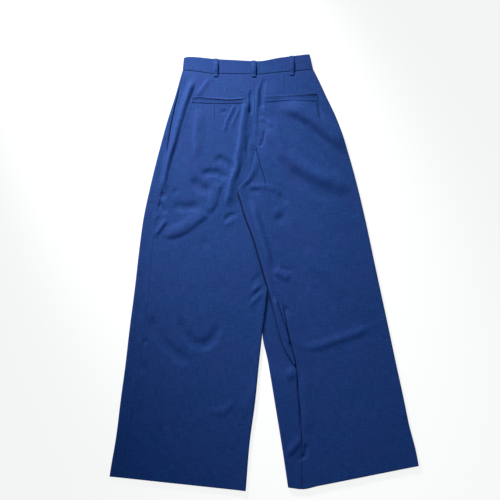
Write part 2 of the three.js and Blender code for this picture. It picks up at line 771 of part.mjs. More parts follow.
const addWall = (name, grids, material) => trousers.add(wall(name, grids.outer, grids.inner, material));

addWall("front_left", frontLeft, suiting);
addWall("front_right", frontRight, suiting);
addWall("back_left", backLeft, suiting);
addWall("back_right", backRight, suiting);
addWall("right_leg_fold", foldLayer(), suiting);
addWall("waistband", waistband(), trim);
for (const welt of WELTS) {
  addWall(welt.name, strip(welt.panel, 1, weltRows(welt), SEAM_GAP, WELT_CLOTH), trim);
}
addWall("fly_flap", strip(frontRight, -1, flyRows(), SEAM_GAP, FLY_CLOTH), trim);
for (const loop of BELT_LOOPS) addWall(loop.name, beltLoop(loop), trim);

export default trousers;
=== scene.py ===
"""Wide-legged double-pleated trousers, laid flat with the back up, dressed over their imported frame.

Lengths in the tables are millimetres, as a pattern cutter reads them; every mesh is in metres.
X runs to the viewer's right, Y from the hems up to the waist, Z up from the floor.
"""
import logging
import math
from dataclasses import dataclass, field
from enum import Enum
from typing import Callable, Sequence

import bmesh
import bpy
import numpy as np
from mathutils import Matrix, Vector


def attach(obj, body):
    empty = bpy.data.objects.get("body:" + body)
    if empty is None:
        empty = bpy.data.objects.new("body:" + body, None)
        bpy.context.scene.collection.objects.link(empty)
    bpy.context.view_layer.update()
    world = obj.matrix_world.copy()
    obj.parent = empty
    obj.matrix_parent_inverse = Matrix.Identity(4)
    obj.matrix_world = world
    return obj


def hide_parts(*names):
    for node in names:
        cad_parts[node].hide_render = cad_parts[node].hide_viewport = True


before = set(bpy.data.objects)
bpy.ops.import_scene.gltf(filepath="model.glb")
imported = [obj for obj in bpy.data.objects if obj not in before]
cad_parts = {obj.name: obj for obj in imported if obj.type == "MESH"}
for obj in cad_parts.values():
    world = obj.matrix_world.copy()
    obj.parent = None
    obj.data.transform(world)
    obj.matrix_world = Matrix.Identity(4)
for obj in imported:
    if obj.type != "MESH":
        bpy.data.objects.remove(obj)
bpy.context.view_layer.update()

LOG = logging.getLogger("trousers")
MM = 0.001

# An array of numbers, an object of the scene, and x, y, z and turn of a stitch
Array = np.ndarray
Piece = bpy.types.Object
Stitch = tuple[float, float, float, float]
# What is known by station, and by place across and station
Along = Callable[[Array], Array]
Height = Callable[[Array, Array], Array]


def smooth(start: float, end: float, value: Array | float) -> Array:
    """Soft step from 0 at start to 1 at end.

    Args:
        start: value where the step begins.
        end: value where the step is complete.
        value: where to read it.

    Returns:
        The height of the step there.
    """
    t = np.clip((np.asarray(value, float) - start) / (end - start), 0.0, 1.0)
    return t * t * (3.0 - 2.0 * t)


def bump(distance: Array | float) -> Array:
    """One at a distance of 0, falling softly to nothing at a distance of 1."""
    return 0.5 * (1.0 + np.cos(np.pi * np.minimum(np.abs(distance), 1.0)))


def lerp(a: Array | float, b: Array | float, t: Array | float) -> Array | float:
    """Straight mix of a and b."""
    return a + (b - a) * t


@dataclass
class Curve:
    """Smooth line through a table's rows that never swings past them.

    Args:
        rows: pairs of place and value, in any order.
    """

    rows: Sequence[tuple[float, float]]

    def __post_init__(self) -> None:
        """Sorts the rows and works out the slope at each."""
        points = np.array(sorted(self.rows), float)
        self.at, self.value = points[:, 0], points[:, 1]
        slope = np.diff(self.value) / np.diff(self.at)
        before, after = slope[:-1], slope[1:]
        total = np.where(np.abs(before + after) < 1e-12, 1.0, before + after)
        inner = np.where(before * after <= 0.0, 0.0, 2.0 * before * after / total)
        self.tangent = np.concatenate([[slope[0]], inner, [slope[-1]]])

    def __call__(self, place: Array | float) -> Array:
        """Reads the line.

        Args:
            place: where to read it.

        Returns:
            The value there.
        """
        x = np.clip(np.asarray(place, float), self.at[0], self.at[-1])
        i = np.clip(np.searchsorted(self.at, x, side="right") - 1, 0, len(self.at) - 2)
        width = self.at[i + 1] - self.at[i]
        t = (x - self.at[i]) / width
        t2, t3 = t * t, t * t * t
        return (
            (2 * t3 - 3 * t2 + 1) * self.value[i]
            + (t3 - 2 * t2 + t) * width * self.tangent[i]
            + (3 * t2 - 2 * t3) * self.value[i + 1]
            + (t3 - t2) * width * self.tangent[i + 1]
        )


@dataclass
class Drift:
    """Slow, soft, seeded unevenness of cloth that has been worn and laid down.

    Args:
        cell: size of one swell in mm.
        seed: seed of the swells.
        cells: how many swells there are each way before they repeat.
        shift: keeps every place inside the drawn swells, in cells.
    """

    cell: float
    seed: int
    cells: int = 256
    shift: float = 100.0

    def __post_init__(self) -> None:
        """Draws the swells once."""
        self.grid = np.random.default_rng(self.seed).uniform(-1.0, 1.0, (self.cells, self.cells))

    def swell(self, i: Array, j: Array) -> Array:
        """Height of the swell in each cell."""
        return self.grid[i % self.cells, j % self.cells]

    def __call__(self, x: Array, y: Array) -> Array:
        """Reads the unevenness, between -1 and 1.

        Args:
            x: places across, in mm.
            y: places along, in mm.

        Returns:
            The unevenness there.
        """
        u, v = x / self.cell + self.shift, y / self.cell + self.shift
        i, j = np.floor(u).astype(int), np.floor(v).astype(int)
        a, b = smooth(0, 1, u - i), smooth(0, 1, v - j)
        low = lerp(self.swell(i, j), self.swell(i + 1, j), a)
        high = lerp(self.swell(i, j + 1), self.swell(i + 1, j + 1), a)
        return lerp(low, high, b)


@dataclass(frozen=True)
class Fold:
    """One fold, crease or hollow of the cloth.

    Args:
        name: what it is.
        height: height of its crest in mm, below zero for a hollow.
        lit: reach on the right hand of the crest line, the side that faces the light.
        shaded: reach on the left hand.
        crest: points of the crest line.
        fade: length over which each end dies away.
    """

    name: str
    height: float
    lit: float
    shaded: float
    crest: tuple[tuple[float, float], ...]
    fade: float = 28.0

    def add_to(self, z: Array, x: Array, y: Array) -> None:
        """Adds the fold to a field of heights.

        Args:
            z: heights in mm, changed in place.
            x: places across.
            y: places along.
        """
        points = np.array(self.crest)
        reach = max(self.lit, self.shaded)
        low, high = points.min(axis=0) - reach, points.max(axis=0) + reach
        near = (x > low[0]) & (x < high[0]) & (y > low[1]) & (y < high[1])
        if not near.any():
            return
        px, py = x[near], y[near]
        nearest = np.full(px.shape, 1e9)
        signed = np.zeros(px.shape)
        walked = np.zeros(px.shape)
        total = 0.0
        for (ax, ay), (bx, by) in zip(self.crest, self.crest[1:]):
            length = math.hypot(bx - ax, by - ay)
            t = np.clip(((px - ax) * (bx - ax) + (py - ay) * (by - ay)) / length**2, 0.0, 1.0)
            distance = np.hypot(px - lerp(ax, bx, t), py - lerp(ay, by, t))
            turned = (bx - ax) * (py - ay) - (by - ay) * (px - ax)
            closer = distance < nearest
            nearest = np.where(closer, distance, nearest)
            signed = np.where(closer, np.sign(turned), signed)
            walked = np.where(closer, total + t * length, walked)
            total += length
        fade = min(self.fade, 0.45 * total)
        ends = smooth(0, fade, walked) * smooth(0, fade, total - walked)
        z[near] += self.height * bump(nearest / np.where(signed > 0, self.shaded, self.lit)) * ends


# Large folds, as the solids have them
LARGE_FOLDS = (
    Fold("ridge beside the left pocket", 4.4, 18, 20,
         ((-181, 486), (-206, 411), (-224, 343), (-248, 245), (-260, 176))),
    Fold("ridge left of the centre seam", 2.3, 24, 20,
         ((-34, 432), (-48, 360), (-56, 279), (-72, 215), (-86, 138))),
    Fold("drag line across the right seat", -1.1, 26, 28,
         ((205, 234), (165, 262), (100, 322), (40, 376), (8, 398))),
    Fold("swell under the drag line", 1.7, 30, 26,
         ((190, 200), (130, 228), (80, 250), (50, 285), (14, 346))),
    Fold("drag line across the right thigh", -0.8, 20, 24,
         ((224, 168), (185, 186), (147, 202), (64, 240))),
    Fold("crease across the right knee", 2.0, 18, 18,
         ((262, -166), (202, -190), (140, -210), (96, -216))),
    Fold("swell down the right thigh", 1.2, 32, 32, ((93, 28), (143, -23), (204, -99))),
    Fold("hollow at the left knee", -0.9, 22, 22,
         ((-122, -198), (-151, -215), (-179, -205), (-202, -168))),
    Fold("hollow at the left calf", -0.9, 20, 22,
         ((-171, -259), (-213, -235), (-246, -210), (-269, -173), (-280, -124))),
    Fold("swell down the left shin", 1.1, 28, 26, ((-307, -259), (-280, -343), (-242, -415))),
    Fold("swell inside the left calf", 1.4, 22, 22, ((-17, -295), (-34, -343), (-59, -379))),
    Fold("crease down the left thigh", -0.9, 16, 16, ((-112, 198), (-122, 159), (-140, 104))),
    Fold("swell at the left hip seam", 1.2, 16, 16, ((-176, 114), (-214, 85), (-252, 75))),
    Fold("swell along the lower right inseam", 1.2, 14, 22,
         ((94, -262), (99, -300), (101, -350), (104, -430))),
)

# Small creases that only the cloth shows
CREASES = (
    Fold("hollow at the foot of the pocket ridge", -2.6, 9, 14,
         ((-174, 485), (-198, 421), (-216, 360), (-230, 292), (-247, 233), (-254, 185))),
    Fold("lip of the pocket ridge", 1.6, 10, 6,
         ((-178, 479), (-201, 418), (-218, 357), (-233, 292), (-250, 233), (-257, 190)), 20),
    Fold("press line under the left loop", 1.5, 5, 13, ((-141, 493), (-159, 465), (-177, 435)), 16),
    Fold("soft pleat down the left seat", 2.4, 13, 26, ((-172, 407), (-174, 341), (-174, 265)), 32),
    Fold("sharp crest left of the centre seam", 3.6, 7.2, 17,
         ((-45, 435), (-49, 401), (-56, 363), (-60, 336), (-64, 303), (-67, 271), (-71, 246), (-79, 225),
          (-85, 206), (-87, 188), (-90, 167), (-95, 138)), 34),
    Fold("hollow beside the centre seam", -3.4, 8, 9, ((-31, 457), (-31, 418), (-33, 379)), 18),
    Fold("lower hollow beside the centre seam", -1.6, 7, 9, ((-41, 336), (-42, 292), (-37, 265)), 20),
    Fold("hollow over the fold's tip", -0.7, 7, 9, ((-55, 260), (-60, 233), (-68, 201)), 16),
    Fold("swell of the centre seam", 1.8, 6, 8, ((-13, 474), (-19, 401), (-20, 319)), 24),
    Fold("hollow right of the centre seam", -3.4, 8, 9, ((5, 488), (-3, 451), (-6, 396)), 18),
    Fold("dent over the crotch", -1.9, 6, 7, ((-14, 299), (-4, 303), (3, 319), (5, 341)), 10),
    Fold("short seam across the crotch", 1.1, 3, 3, ((-1, 297), (-16, 296), (-33, 292)), 5),
    Fold("drag under the left welt", 1.7, 6, 10, ((-74, 415), (-90, 379), (-105, 336)), 14),
    Fold("second drag under the left welt", 1.3, 5, 8, ((-61, 410), (-69, 385), (-82, 352)), 12),
    Fold("dent under the left dart", -1.6, 8, 8, ((-92, 396), (-114, 392)), 8),
    Fold("upper thigh dent", -3.2, 15, 16, ((-133, 265), (-110, 265), (-89, 252), (-73, 230)), 22),
    Fold("thigh dent", -3.4, 15, 15, ((-167, 222), (-141, 232), (-118, 230), (-92, 212)), 22),
    Fold("broad dent of the thigh", -4.2, 20, 21, ((-190, 212), (-164, 190), (-130, 177)), 24),
    Fold("lower dent of the thigh", -3.2, 16, 20, ((-238, 143), (-199, 135), (-158, 143)), 24),
    Fold("small dent by the left seam", -1.4, 12, 12, ((-215, 185), (-238, 172)), 14),
    Fold("crease down the left thigh", 2.7, 24, 12, ((-110, 206), (-117, 180), (-127, 148), (-142, 122)), 18),
    Fold("crease beside the fold", -2.4, 10, 11, ((-101, 101), (-83, 117), (-63, 121)), 14),
    Fold("lip of the crease beside the fold", 0.8, 9, 10, ((-68, 109), (-86, 96), (-106, 89)), 12),
    Fold("dent under the hip crease", -1.6, 20, 22, ((-162, 39), (-134, 47)), 20),
    Fold("upper crumple at the foot of the pocket", -5, 10, 10, ((-249, 122), (-260, 138), (-272, 151)), 10),
    Fold("crumple at the foot of the pocket", -4.5, 9, 9, ((-266, 177), (-254, 159)), 9),
    Fold("cross crease at the left edge", 2.8, 12, 9, ((-242, 110), (-254, 96), (-267, 78), (-280, 59)), 16),
    Fold("second cross crease at the left edge", 2, 8, 7, ((-266, 122), (-281, 106)), 8),
    Fold("lip of the hip crease", 2.9, 30, 14,
         ((-140, 127), (-155, 115), (-173, 101), (-193, 84), (-213, 72), (-234, 67), (-254, 69)), 20),
    Fold("hollow of the hip crease", -0.7, 9, 14, ((-198, 70), (-223, 59), (-249, 58)), 12),
    Fold("upper drag of the right seat", 8.4, 44, 23,
         ((226, 281), (206, 300), (183, 322), (154, 346), (123, 372), (92, 393), (60, 404), (34, 408)), 60),
    Fold("lip under the upper drag", 4.6, 34, 31,
         ((229, 180), (203, 189), (160, 209), (119, 229), (85, 252), (54, 284), (26, 333), (2, 371)), 40),
    Fold("thin lip under the upper drag", 2.6, 7, 9, ((28, 349), (13, 368), (-8, 382)), 14),
    Fold("hollow under the lower drag", -1.3, 22, 24, ((192, 151), (141, 175), (95, 201), (64, 233)), 34),
    Fold("hollow right of the crotch", -0.8, 7, 9, ((8, 357), (5, 325)), 14),
    Fold("short drag of the right hip", -1.8, 8, 10, ((145, 418), (151, 368)), 14),
    Fold("lip over the fold's top", 1.4, 12, 13, ((35, 180), (12, 192), (-16, 193), (-40, 190)), 14),
    Fold("hollow under the fold's top", -1.3, 12, 14, ((-40, 180), (-22, 178), (-4, 180)), 12),
    Fold("rolled edge of the fold", 4.4, 13, 15, ((-37, 164), (-20, 117), (-4, 59), (11, 8), (21, -28)), 50),
    Fold("crumple beside the inseam", -2.8, 13, 14, ((35, 177), (49, 161), (62, 143)), 16),
    Fold("lip of the crumple", 1.5, 14, 18, ((50, 143), (35, 127), (19, 117)), 18),
    Fold("second crumple", -1.7, 16, 16, ((24, 98), (42, 105), (58, 100)), 18),
    Fold("lip of the knot", 2.8, 16, 14, ((69, -48), (52, -40), (36, -30), (24, -20)), 16),
    Fold("hollow over the knot", -1.6, 9, 7, ((39, -14), (57, -21), (72, -28)), 12),
    Fold("swell right of the fold", 1.8, 22, 26, ((58, 122), (83, 65), (123, -2), (168, -58)), 40),
    Fold("pull at the left inner edge", 2, 11, 11, ((6, -46), (-12, -63), (-34, -83)), 18),
    Fold("second pull at the left inner edge", 1.6, 10, 10, ((-2, -78), (-19, -96), (-40, -116)), 18),
    Fold("hollow above the pulls", -1.2, 10, 10, ((1, -30), (-22, -46), (-34, -63)), 16),
    Fold("hollow between the pulls", -1.2, 9, 10, ((-4, -66), (-22, -83), (-37, -101)), 16),
    Fold("lip of the knee crease", 0.6, 18, 12,
         ((301, -151), (268, -165), (217, -186), (165, -200), (122, -214), (82, -220)), 30),
    Fold("hook of the knee crease", 1.2, 12, 14, ((51, -129), (63, -166), (80, -205), (100, -222)), 20),
    Fold("small hollow at the fold's foot", -2.4, 7, 9, ((51, -114), (58, -131)), 7),
    Fold("ridge at the fold's foot", 4.4, 8, 7, ((25, -91), (37, -129), (52, -173), (65, -215)), 20),
    Fold("hollow by the left inner calf", -2.4, 9, 10, ((40, -227), (20, -249)), 12),
    Fold("hollow at the left knee", -3, 18, 20,
         ((-212, -138), (-202, -176), (-179, -202), (-149, -211), (-124, -193), (-110, -153)), 30),
    Fold("hollow at the left calf", -3, 19, 21,
         ((-283, -134), (-272, -171), (-251, -205), (-223, -232), (-188, -257)), 34),
    Fold("short crease at the left shin", -2.2, 7, 7, ((-301, -198), (-286, -205)), 9),
    Fold("hollow down the left shin", -2.8, 13, 14,
         ((-300, -247), (-284, -293), (-263, -343), (-245, -386), (-234, -419)), 30),
    Fold("lip inside the left calf", 1.8, 14, 14, ((-69, -343), (-98, -372), (-142, -370)), 24),
    Fold("pull below the fold", 5, 7, 24, ((82, -264), (66, -274), (45, -283)), 16),
    Fold("hollow above the pull", -2.2, 9, 9, ((65, -259), (47, -237), (38, -218)), 14),
    Fold("groove by the right inner calf", -2.2, 4, 4, ((82, -286), (86, -348), (89, -415)), 16),
    Fold("pull at the right inner hem", 4.2, 10, 10, ((92, -433), (72, -452), (53, -473)), 14),
    Fold("hollow at the right inner hem", -4, 8, 8, ((102, -445), (100, -473), (79, -487)), 12),
    Fold("lip over the left pocket mouth", 0.9, 3.5, 3.5,
         ((-188, 430), (-169, 433.5), (-130, 430), (-92, 427.5), (-60, 429.5), (-44, 431.5)), 8),
    Fold("lip over the right pocket mouth", 0.6, 3.5, 3.5,
         ((-1, 434.5), (40, 437), (72, 438), (110, 438.5), (143, 438)), 8),
)

# Stations along the garment
HEM_STATION = -550.0
WAIST_STATION = 500.0
CROTCH_STATION = 300.0
OVERLAP_TOP = -60.0
OVERLAP_BOTTOM = -180.0
FOLD_TOP = 288.0
FOLD_BOTTOM = -257.0
HEM_DEPTH = 62.0


@dataclass
class Outline:
    """Edges and seams of the garment as it lies, with the same rows as its solids."""

    columns: tuple[str, ...] = (
        "outer_left", "seam_left", "inner_left", "inner_right", "inseam_right", "outer_right")
    rows: tuple[tuple[float, ...], ...] = (
        (500, -213.5, -208.5, -22.5, -22.5, -22.5, 133.5),
        (440, -230, -223, -21, -21, -21, 163),
        (380, -248.5, -236.5, -20.3, -20.3, -20.3, 191.5),
        (300, -268.5, -248.5, -17.5, -17.5, -17.5, 216.5),
        (200, -290.5, -258, -9, -9, 6, 241.5),
        (100, -308.5, -274, -2, -2, 19.5, 262),
        (0, -318.5, -283.5, 5.5, 5.5, 32.5, 280),
        (-60, -323.5, -286.5, 9.5, 9.5, 41, 291),
        (-180, -335.5, -297, -3.5, -3.5, 61, 313),
        (-250, -341.5, -304.5, -11.5, 10, 77, 325.5),
        (-350, -352, -317.5, -22, 26.5, 87, 344),
        (-450, -361, -332, -36, 42.5, 91.5, 360),
        (-550, -372.5, -343, -44.6, 56.9, 90.5, 372.5),
    )
    return_right: tuple[tuple[float, float], ...] = (
        (500, 4), (380, 12), (280, 24), (260, 25), (200, 30), (100, 33), (-550, 30))
    return_left: tuple[tuple[float, float], ...] = (
        (500, 0.8), (380, 0.8), (280, 0.8), (260, 4), (200, 22), (100, 30), (-550, 30))
    fold_rows: tuple[tuple[float, float], ...] = (
        (298, -16.2), (244, -28), (213, -42.3), (186, -64.2), (150, -55), (114, -44.8), (54, -23),
        (-12, -4), (-61, 9.7), (-136, 28.2), (-210, 47.6), (-240, 62.3), (-260, 75.2))
    waist_seam: tuple[tuple[float, float], ...] = (
        (-213, 510), (-194, 508.6), (-128, 500.2), (-74, 499.4), (-13, 498.8), (45, 504.4), (134, 512))
    band_top: tuple[tuple[float, float], ...] = (
        (-211, 545.3), (-195, 547.6), (-123, 541.1), (-75, 538.3), (-13, 535.4), (46, 545.3),
        (125, 555.3))
    left_hem: tuple[tuple[float, float], ...] = ((-372.2, -521.9), (-44.6, -555.3))
    right_hem: tuple[tuple[float, float], ...] = (
        (56.9, -547.2), (90.5, -551.1), (130, -543.6), (230, -524.7), (372.9, -497.6))

    def __post_init__(self) -> None:
        """Makes a line of each column."""
        self.lines = {
            name: Curve([(row[0], row[i + 1]) for row in self.rows])
            for i, name in enumerate(self.columns)
        }
        self.lines["return_right"] = Curve(self.return_right)
        self.lines["return_left"] = Curve(self.return_left)
        self.fold_edge = Curve(self.fold_rows)
        self.seam_y = Curve(self.waist_seam)
        self.top_y = Curve(self.band_top)
        self.hem_left, self.hem_right = Curve(self.left_hem), Curve(self.right_hem)

    def line(self, name: str, station: Array | float) -> Array:
        """Reads one named line at a station."""
        return self.lines[name](station)

    def centre(self, station: Array | float) -> Array:
        """Centre seam above the crotch, held at the crotch below it."""
        return self.line("inner_left", np.maximum(station, CROTCH_STATION))

    def inseam(self, station: Array | float) -> Array:
        """Right inseam below the crotch, centre seam above it."""
        above = np.asarray(station) >= CROTCH_STATION
        return np.where(above, self.line("inner_left", station), self.line("inseam_right", station))

    def inner_right(self, station: Array | float) -> Array:
        """Inner edge of the right leg, which touches the left leg down to where they part."""
        joined = np.asarray(station) >= OVERLAP_BOTTOM
        return np.where(joined, self.line("inner_left", station), self.line("inner_right", station))

    def y(self, x: Array | float, station: Array | float) -> Array:
        """Real place along the garment: stations bend to follow the waist seam and the hems.

        Args:
            x: places across.
            station: stations.

        Returns:
            Y in mm.
        """
        hem = np.where(np.asarray(x) < 10, self.hem_left(x), self.hem_right(x))
        at_waist = smooth(WAIST_STATION - 120, WAIST_STATION, station)
        at_hem = 1 - smooth(HEM_STATION, HEM_STATION + 170, station)
        return station + (self.seam_y(x) - WAIST_STATION) * at_waist + (hem - HEM_STATION) * at_hem


@dataclass
class Lay:
    """Heights of every layer of cloth over the floor, in mm.

    Args:
        edge_lift: how far the cloth stands up along a bent edge, within edge_reach.
        tuck: height of cloth that lies squeezed under another leg, within tuck_reach.
        leg_lift: how far the left leg stands up over the right one, within leg_reach.
        fold_reach: how far beside the fold the right back is lifted by it.
        fold_foot: how far the foot of the fold's wall lies over the cloth below, and
            fold_turned its turned-under cloth.
        wall_least: width of the fold's wall, and wall_extra what its upper part adds.
        pleats: start, fold and end as shares of the front's width, and length, for each.
        swells: slow swells of the back, each with its height.
        bend_x: how the folds wander across, and bend_y along, by up to wander.
    """

    outline: Outline
    cloth: float = 1.2
    back: float = 6.0
    back_at_waist: float = 5.7
    front_rise: float = 1.8
    clearance: float = 0.35
    softness: float = 0.7
    edge_lift: float = 0.9
    edge_reach: float = 24.0
    tuck: float = 3.4
    tuck_reach: float = 32.0
    leg_lift: float = 1.2
    leg_reach: float = 26.0
    fold_clearance: float = 0.7
    fold_fullness: float = 2.6
    fold_reach: float = 55.0
    fold_foot: float = 0.95
    fold_turned: float = 0.4
    wall_least: float = 1.5
    wall_extra: float = 4.6
    pleats: tuple[tuple[float, float, float, float], ...] = (
        (0.24, 0.4, 0.415, 150), (0.415, 0.56, 0.575, 110))
    fly_width: float = 36.0
    fly_bottom: float = 335.0
    fly_rise: float = 1.4
    swells: tuple[tuple[Drift, float], ...] = (
        (Drift(85, 3), 0.42), (Drift(38, 5), 0.26), (Drift(17, 8), 0.10))
    bend_x: Drift = field(default_factory=lambda: Drift(46, 21))
    bend_y: Drift = field(default_factory=lambda: Drift(46, 22))
    wander: float = 2.2

    def front(self, x: Array, station: Array) -> Array:
        """Upper face of the front, which lies on the floor: pleats, fly and waist lift it a little.

        Args:
            x: places across.
            station: stations.

        Returns:
            The height there.
        """
        centre = self.outline.centre(station)
        left = x < centre
        outer = np.where(
            left,
            self.outline.line("outer_left", station),
            self.outline.line("outer_right", station) - self.outline.line("return_right", station))
        share = (x - centre) / (outer - centre)
        pleat = np.zeros(np.broadcast(x, station).shape)
        for start, fold, end, length in self.pleats:
            along = smooth(WAIST_STATION - length, WAIST_STATION - 15, station)
            rising = np.clip((share - start) / (fold - start), 0, 1)
            falling = np.clip((end - share) / (end - fold), 0, 1)
            pleat = pleat + along * np.where(share <= fold, rising, falling) * (share < end)
        waist = self.front_rise * smooth(430, WAIST_STATION - 3, station)
        beside = np.maximum(np.maximum(centre - x - 2, x - centre - self.fly_width - 4), 0)
        fly_along = smooth(self.fly_bottom - 60, self.fly_bottom - 12, station)
        fly = self.fly_rise * fly_along * bump(beside / 22.0)
        return np.maximum(waist, fly) + pleat + self.cloth

    def relief(self, x: Array, y: Array) -> Array:
        """Folds, creases and slow swells of the back.

        Args:
            x: places across.
            y: places along.

        Returns:
            How far they raise it.
        """
        z = np.zeros(np.broadcast(x, y).shape)
        wx = x + self.wander * self.bend_x(x, y)
        wy = y + self.wander * self.bend_y(x, y)
        for fold in LARGE_FOLDS + CREASES:
            fold.add_to(z, wx, wy)
        for swell, height in self.swells:
            z += height * swell(x, y)
        return z

    def top(self, x: Array, station: Array) -> Array:
        """Upper face of the back with its folds.

        Args:
            x: places across.
            station: stations.

        Returns:
            The height there.
        """
        x = np.asarray(x, float)
        station = np.broadcast_to(np.asarray(station, float), x.shape)
        y = self.outline.y(x, station)
        base = lerp(self.back, self.back_at_waist, smooth(430, WAIST_STATION - 3, station))
        fade = smooth(0, 26, WAIST_STATION - station)
        to_edge = np.minimum(
            x - self.outline.line("outer_left", station), self.outline.line("outer_right", station) - x)
        lift = self.edge_lift * bump(np.maximum(to_edge, 0) / self.edge_reach)
        floor = self.front(x, station) + self.cloth + self.clearance
        over = base + (self.relief(x, y) + lift) * fade - floor
        return floor + 0.5 * (over + np.sqrt(over**2 + self.softness**2))

    def back_left(self, x: Array, station: Array) -> Array:
        """Left back: pressed under the fold, lifted where it lies over the right leg.

        Args:
            x: places across.
            station: stations.

        Returns:
            The height there.
        """
        to_inner = np.maximum(self.outline.line("inner_left", station) - x, 0)
        below = 1 - smooth(CROTCH_STATION - 15, CROTCH_STATION + 10, station)
        over = smooth(OVERLAP_TOP - 30, OVERLAP_TOP + 10, station)
        height = lerp(self.top(x, station), self.tuck, over * below * bump(to_inner / self.tuck_reach))
        return height + self.leg_lift * (1 - over) * bump(to_inner / self.leg_reach)

    def back_right(self, x: Array, station: Array) -> Array:
        """Right back: lifted beside the fold that lies over the left leg.

        Args:
            x: places across.
            station: stations.

        Returns:
            The height there.
        """
        from_inseam = np.maximum(x - self.outline.inseam(station), 0)
        along = (1 - smooth(276, 306, station)) * smooth(-286, -236, station)
        lift = (self.fold_clearance + self.cloth) * along * bump(from_inseam / self.fold_reach)
        return self.top(x, station) + lift

    def front_right(self, x: Array, station: Array) -> Array:
        """Right front where it comes round to the top: low while it lies under the fold.

        Args:
            x: places across.
            station: stations.

        Returns:
            The height there.
        """
        free = 1 - smooth(-296, -238, station)
        to_inner = np.maximum(x - self.outline.inner_right(station), 0)
        edge = 0.8 * self.edge_lift * bump(to_inner / self.edge_reach)
        return lerp(self.tuck, self.top(x, station), free) + edge * free

    def fold_wall(self, station: Array) -> Array:
        """How far the fold's wall stands out past its edge, where it falls to the cloth below."""
        upper_part = (1 - smooth(172, 190, station)) * smooth(-150, -50, station)
        return self.wall_least + self.wall_extra * upper_part

    def fold_shade(self, x: Array, station: Array) -> Array:
        """How deep the fold's cloth lies in its own shade: the foot of the wall, below the tip."""
        down = -(x - self.outline.fold_edge(station)) / self.fold_wall(station)
        return smooth(0.0, 0.3, down) * (1 - smooth(176, 190, station))

    def wedge_shade(self, x: Array, station: Array) -> Array:
        """How deep the right front lies in shade, between the left leg's edge and the fold.

        Args:
            x: places across.
            station: stations.

        Returns:
            The shade there, from 0 to 1.
        """
        from_left = x - self.outline.line("inner_left", station)
        beside_left = smooth(8, 2, from_left) * smooth(OVERLAP_BOTTOM - 30, OVERLAP_BOTTOM, station)
        from_fold = self.outline.fold_edge(station) - self.fold_wall(station) - x
        beside_fold = smooth(3.5, 0.5, from_fold) * smooth(FOLD_BOTTOM - 6, FOLD_BOTTOM + 20, station)
        return np.maximum(0.9 * beside_left, 0.6 * beside_fold)

    def below_fold(self, x: Array, station: Array) -> Array:
        """Upper face of what the fold lies on: the left leg, and farther down the right front."""
        on_left = smooth(OVERLAP_TOP - 6, OVERLAP_TOP + 6, station)
        return lerp(self.front_right(x, station), self.back_left(x, station), on_left)

    def fold(self, x: Array, station: Array) -> Array:
        """Upper layer of the right leg's fold, fuller towards its bent edge, with a steep wall there.

        Args:
            x: places across.
            station: stations.

        Returns:
            The height there.
        """
        from_edge = x - self.outline.fold_edge(station)
        full = self.fold_fullness * (1 - smooth(230, 290, station)) * bump(np.maximum(from_edge - 4, 0) / 18)
        crown = self.top(x, station) + self.fold_clearance + self.cloth + full
        foot = self.below_fold(x, station) + self.fold_foot
        down = smooth(0.35, -1.0, from_edge / self.fold_wall(station))
        return np.maximum(lerp(crown, foot, down), foot)

    def fold_under(self, x: Array, station: Array) -> Array:
        """Turned-under cloth of the fold."""
        return self.below_fold(x, station) + self.fold_turned


class Side(Enum):
    """Which way a panel's bent edge faces."""

    LEFT = -1
    RIGHT = 1


class Layer(Enum):
    """Where the main part of a panel lies, and so which way its edge bends."""

    FLOOR = 1
    TOP = -1


def deselect() -> None:
    """Leaves object mode and clears the selection, CAD nodes included."""
    if bpy.context.object and bpy.context.object.mode != "OBJECT":
        bpy.ops.object.mode_set(mode="OBJECT")
    bpy.ops.object.select_all(action="DESELECT")


def make_active(piece: Piece) -> None:
    """Selects one piece alone and makes it active.

    Args:
        piece: the piece.
    """
    deselect()
    piece.select_set(True)
    bpy.context.view_layer.objects.active = piece


def note_tucked(mesh: bpy.types.Mesh, tucked: Array) -> None:
    """Keeps on a mesh the painted shade of each point, from 0 to 1: shade painted into the colour in seams
    and under edges.
    """
    layer = mesh.attributes.get("tucked") or mesh.attributes.new("tucked", "FLOAT", "POINT")
    layer.data.foreach_set("value", np.clip(tucked, 0.0, 1.0).astype(np.float32).ravel())


